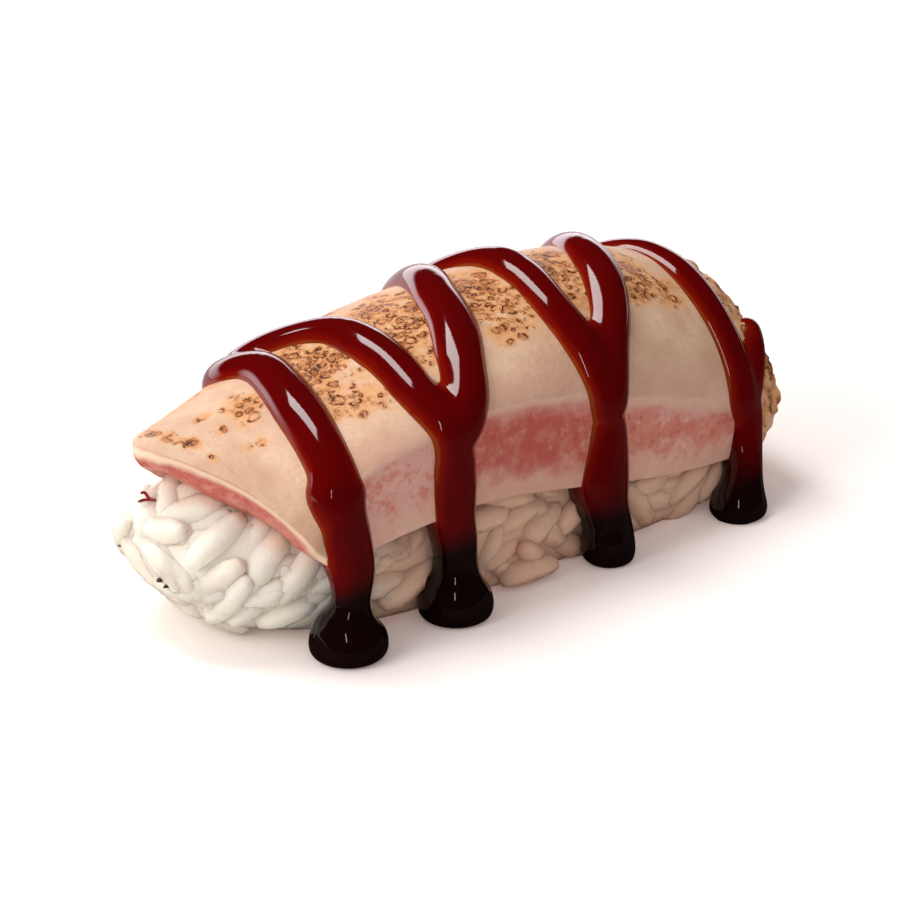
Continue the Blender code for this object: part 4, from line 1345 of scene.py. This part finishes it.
# ---------------------------------------------------------------------------- loose bits
@dataclass(frozen=True)
class LooseBits:
    """Burnt crumbs and one fine forked chili thread that lie on the rice."""

    crumbs: tuple[tuple[float, float, float, float], ...] = (
        (-24.9, 1.8, 3.5, 0.36), (-24.5, 1.5, 2.9, 0.30), (-28.0, 4.2, 6.6, 0.18))
    fell_from: Triple = (-0.55, -0.71, 0.44)
    thread_start: Triple = (-24.2, 4.8, 9.4)
    stem: tuple[Triple, ...] = (
        (1.1, -0.5, -0.25), (0.5, -0.2, 0.12), (0.0, 0.0, 0.25), (-0.5, 0.2, 0.3), (-0.9, 0.5, 0.1))
    fork: tuple[Triple, ...] = (
        (0.0, 0.0, 0.25), (-0.1, 0.2, 0.6), (-0.35, 0.3, 0.95), (-0.7, 0.3, 0.95))
    thread_radius: float = 0.15
    thrown: float = 12.0
    steps: int = 14
    sides: int = 8

    def land(self, rice: Piece, place: Sequence[float]) -> Array:
        """Where something that falls toward a place comes to lie on the rice.

        Args:
            rice: the piece that it lands on.
            place: the place that it is thrown at.

        Returns:
            The point of the rice that it meets, or the place itself.
        """
        tree = BVHTree.FromObject(rice, bpy.context.evaluated_depsgraph_get())
        way = Vector(self.fell_from).normalized()
        hit = tree.ray_cast((Vector(place) + way * self.thrown) * MM, -way)[0]
        return np.array(place if hit is None else hit / MM)

    def strand(self, knots: Sequence[Sequence[float]]) -> tuple[Array, Array, tuple]:
        """Rings of points round a run of knots.

        Args:
            knots: the points that the middle line passes through.

        Returns:
            The points, the quads that join them and the corners of both caps.
        """
        share = np.linspace(0, 1, self.steps)
        line = run_through(np.array(knots), share)
        ahead = np.gradient(line, axis=0)
        ahead /= np.linalg.norm(ahead, axis=1)[:, None]
        side = np.cross(ahead, (0.3, 0.9, 0.3))
        side /= np.linalg.norm(side, axis=1)[:, None]
        up = np.cross(side, ahead)
        turn = np.linspace(0, 2 * math.pi, self.sides, endpoint=False)[:, None, None]
        girth = self.thread_radius * np.sqrt(np.clip(1 - (2 * share - 1)**8, 0.02, 1))[:, None]
        rings = line + girth * (np.cos(turn) * side + np.sin(turn) * up * 0.7)
        points = rings.transpose(1, 0, 2).reshape(-1, 3)
        index, quads = ring_quads(len(line), self.sides)
        return points, quads, (index[0][::-1], index[-1])

    def thread(self, rice: Piece, finish: ChiliRed) -> Piece:
        """The chili thread.

        Args:
            rice: the piece that it lies on.
            finish: the thread's finish.

        Returns:
            The thread as one mesh.
        """
        start = self.land(rice, self.thread_start)
        points, faces = [], []
        for knots in (self.stem, self.fork):
            ring, quads, caps = self.strand(knots)
            shift = sum(len(part) for part in points)
            points.append(ring + start)
            faces += (quads + shift).tolist() + [(cap + shift).tolist() for cap in caps]
        thread = mesh_object("chili_thread", np.concatenate(points), faces)
        thread.data.materials.append(finish.build("chili_thread"))
        turn_outward(thread)
        thread.data.set_sharp_from_angle(angle=SHARP)
        return thread

    def flakes(self, rice: Piece, finish: BurntCrumb) -> Piece:
        """The burnt crumbs, uneven lumps half sunk between the grains.

        Args:
            rice: the piece that they lie on.
            finish: the crumbs' finish.

        Returns:
            The crumbs as one mesh.
        """
        rng = np.random.default_rng(9)
        work = bmesh.new()
        for *place, size in self.crumbs:
            made = bmesh.ops.create_icosphere(work, subdivisions=3, radius=1.0)["verts"]
            points = np.array([vert.co for vert in made])
            lump = 1 + 0.30 * np.sin(points @ rng.uniform(-3.5, 3.5, (3, 3))).sum(axis=1)[:, None] / 2
            points = points * lump * size * np.array([1.3, 0.7, 0.55]) + self.land(rice, place)
            for vert, point in zip(made, points):
                vert.co = point * MM
        mesh = bpy.data.meshes.new("burnt_crumbs")
        work.to_mesh(mesh)
        work.free()
        mesh.shade_smooth()
        mesh.materials.append(finish.build("burnt_crumb"))
        return add_object("burnt_crumbs", mesh)


# ---------------------------------------------------------------------------- studio
@dataclass(frozen=True)
class SoftLight:
    """One soft lamp: where it comes from, distance, size, power, colour, and if it is mirrored."""

    name: str
    towards: Triple
    distance: float
    size: tuple[float, float]
    power: float
    colour: Colour = (1.0, 1.0, 1.0)
    mirrored: bool = True

    def build(self, aim: Vector) -> Piece:
        """Hang the lamp and aim it at a point."""
        lamp = bpy.data.lights.new(self.name, "AREA")
        lamp.shape, lamp.size, lamp.size_y = "RECTANGLE", *self.size
        lamp.energy, lamp.color = self.power, self.colour
        obj = add_object(self.name, lamp)
        away = Vector(self.towards).normalized()
        obj.location = aim + away * self.distance
        obj.rotation_euler = away.to_track_quat("Z", "Y").to_euler()
        obj.visible_glossy = self.mirrored
        return obj


@dataclass
class Studio:
    """White sweep, soft lamps and the camera."""

    aim: Triple = (0.0, -6.6, 12.5)
    azimuth: float = math.radians(38)
    elevation: float = math.radians(26)
    distance: float = 300.0
    scale: float = 11.3
    picture: float = 900.0
    aim_pixel: tuple[float, float] = (452.0, 440.0)
    ambient: float = 0.47
    mirrored_room: float = 0.012
    backdrop_glow: float = 3.2
    backdrop_way: Triple = (0.25, 0.97, 0.0)
    lamps: tuple[SoftLight, ...] = (
        SoftLight("strip_overhead", (-0.07, 0.46, 0.88), 0.55, (0.18, 0.30), 1.75, (1.0, 0.97, 0.95)),
        SoftLight("back_left", (-0.60, 0.55, 0.90), 0.60, (0.35, 0.35), 0.55, (1.0, 0.97, 0.93), False),
        SoftLight("left_high", (-1.0, 0.12, 0.62), 0.50, (0.26, 0.26), 1.15, (1.0, 0.96, 0.91), False),
        SoftLight("front_glint", (-0.55, -0.66, 0.52), 0.60, (0.016, 0.26), 0.20))

    def camera(self) -> Piece:
        """Place the camera and make it the scene's."""
        a, e = self.azimuth, self.elevation
        back = Vector((-math.sin(a) * math.cos(e), -math.cos(a) * math.cos(e), math.sin(e)))
        data = bpy.data.cameras.new("camera")
        data.sensor_width = 36.0
        data.lens = data.sensor_width * self.scale * self.distance / self.picture
        half = self.picture / 2
        data.shift_x = (half - self.aim_pixel[0]) / self.picture
        data.shift_y = (self.aim_pixel[1] - half) / self.picture
        data.clip_start = 0.01
        obj = add_object("camera", data)
        obj.location = (Vector(self.aim) + back * self.distance) * MM
        obj.rotation_euler = back.to_track_quat("Z", "Y").to_euler()
        bpy.context.scene.camera = obj
        return obj

    def floor(self, half: float = 1500.0) -> Piece:
        """The plain white floor, marked as stage."""
        corners = np.array([[-half, -half, 0], [half, -half, 0], [half, half, 0], [-half, half, 0]])
        floor = mesh_object("floor", corners, [(0, 1, 2, 3)])
        floor.data.materials.append(WhiteSweep().build("white_sweep"))
        floor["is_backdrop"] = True
        return floor

    def surround(self) -> None:
        """Soft ambient light; mirrored, the room is dark but for a backdrop behind the object."""
        graph = ShaderGraph("studio", surround=True)
        path = graph.put("ShaderNodeLightPath").outputs["Is Glossy Ray"]
        way = graph.put("ShaderNodeTexCoord").outputs["Generated"]
        behind = graph.put("ShaderNodeVectorMath", {0: way, 1: self.backdrop_way},
                           operation="DOT_PRODUCT")
        glow = graph.times(graph.step(behind.outputs["Value"], 0.5, 0.88),
                          graph.step(graph.apart(way, "Z"), 0.16, 0.26, (1.0, 0.0)))
        seen = graph.math("MULTIPLY_ADD", glow, self.backdrop_glow, self.mirrored_room)
        colour = graph.blend(path, (1.0, 0.955, 0.915), (1.0, 0.92, 0.97))
        strength = graph.put("ShaderNodeMapRange", {"Value": path, "To Min": self.ambient,
                                                    "To Max": seen})
        bpy.context.scene.world = graph.finish(Color=colour, Strength=strength.outputs["Result"])

    def build(self) -> None:
        """Set up floor, lamps, surround and camera."""
        self.floor()
        self.surround()
        for lamp in self.lamps:
            lamp.build(Vector(self.aim) * MM)
        self.camera()
        bpy.context.scene.view_settings.view_transform = "Standard"


def report(piece: Piece) -> None:
    """Log one finished piece."""
    LOG.info("%s: %d points, %d faces", piece.name, len(piece.data.vertices), len(piece.data.polygons))


def main(cad_box: tuple[Vector, Vector]) -> None:
    """Build every piece in order.

    Args:
        cad_box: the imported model's lowest and highest corner.
    """
    logging.basicConfig(level=logging.INFO, format="%(name)s %(message)s")
    low, high = (np.array(corner) / MM for corner in cad_box)
    limits = (low + BOX_MARGIN, high - BOX_MARGIN)
    limits[0][2] = 0.0

    slab = TunaSlab().build(SearedTuna(), limits)
    zigzag = SauceZigzag()
    sauce = zigzag.build(DarkSauce(), slab, limits)
    core, grains = RiceMound(drips=zigzag.drips).build(CookedRice(), limits)

    bits = LooseBits()
    thread, crumbs = bits.thread(grains, ChiliRed()), bits.flakes(grains, BurntCrumb())

    for piece, node, slot in ((slab, "tuna", "seared_tuna"), (sauce, "tuna", "seared_tuna"),
                              (core, "rice", "cooked_rice"), (grains, "rice", "cooked_rice"),
                              (thread, None, "seared_tuna"), (crumbs, None, "seared_tuna")):
        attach(piece, "root")
        if node is not None:
            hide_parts(node)
        report(piece)
    Studio().build()


if __name__ == "__main__":
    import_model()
    main(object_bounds())
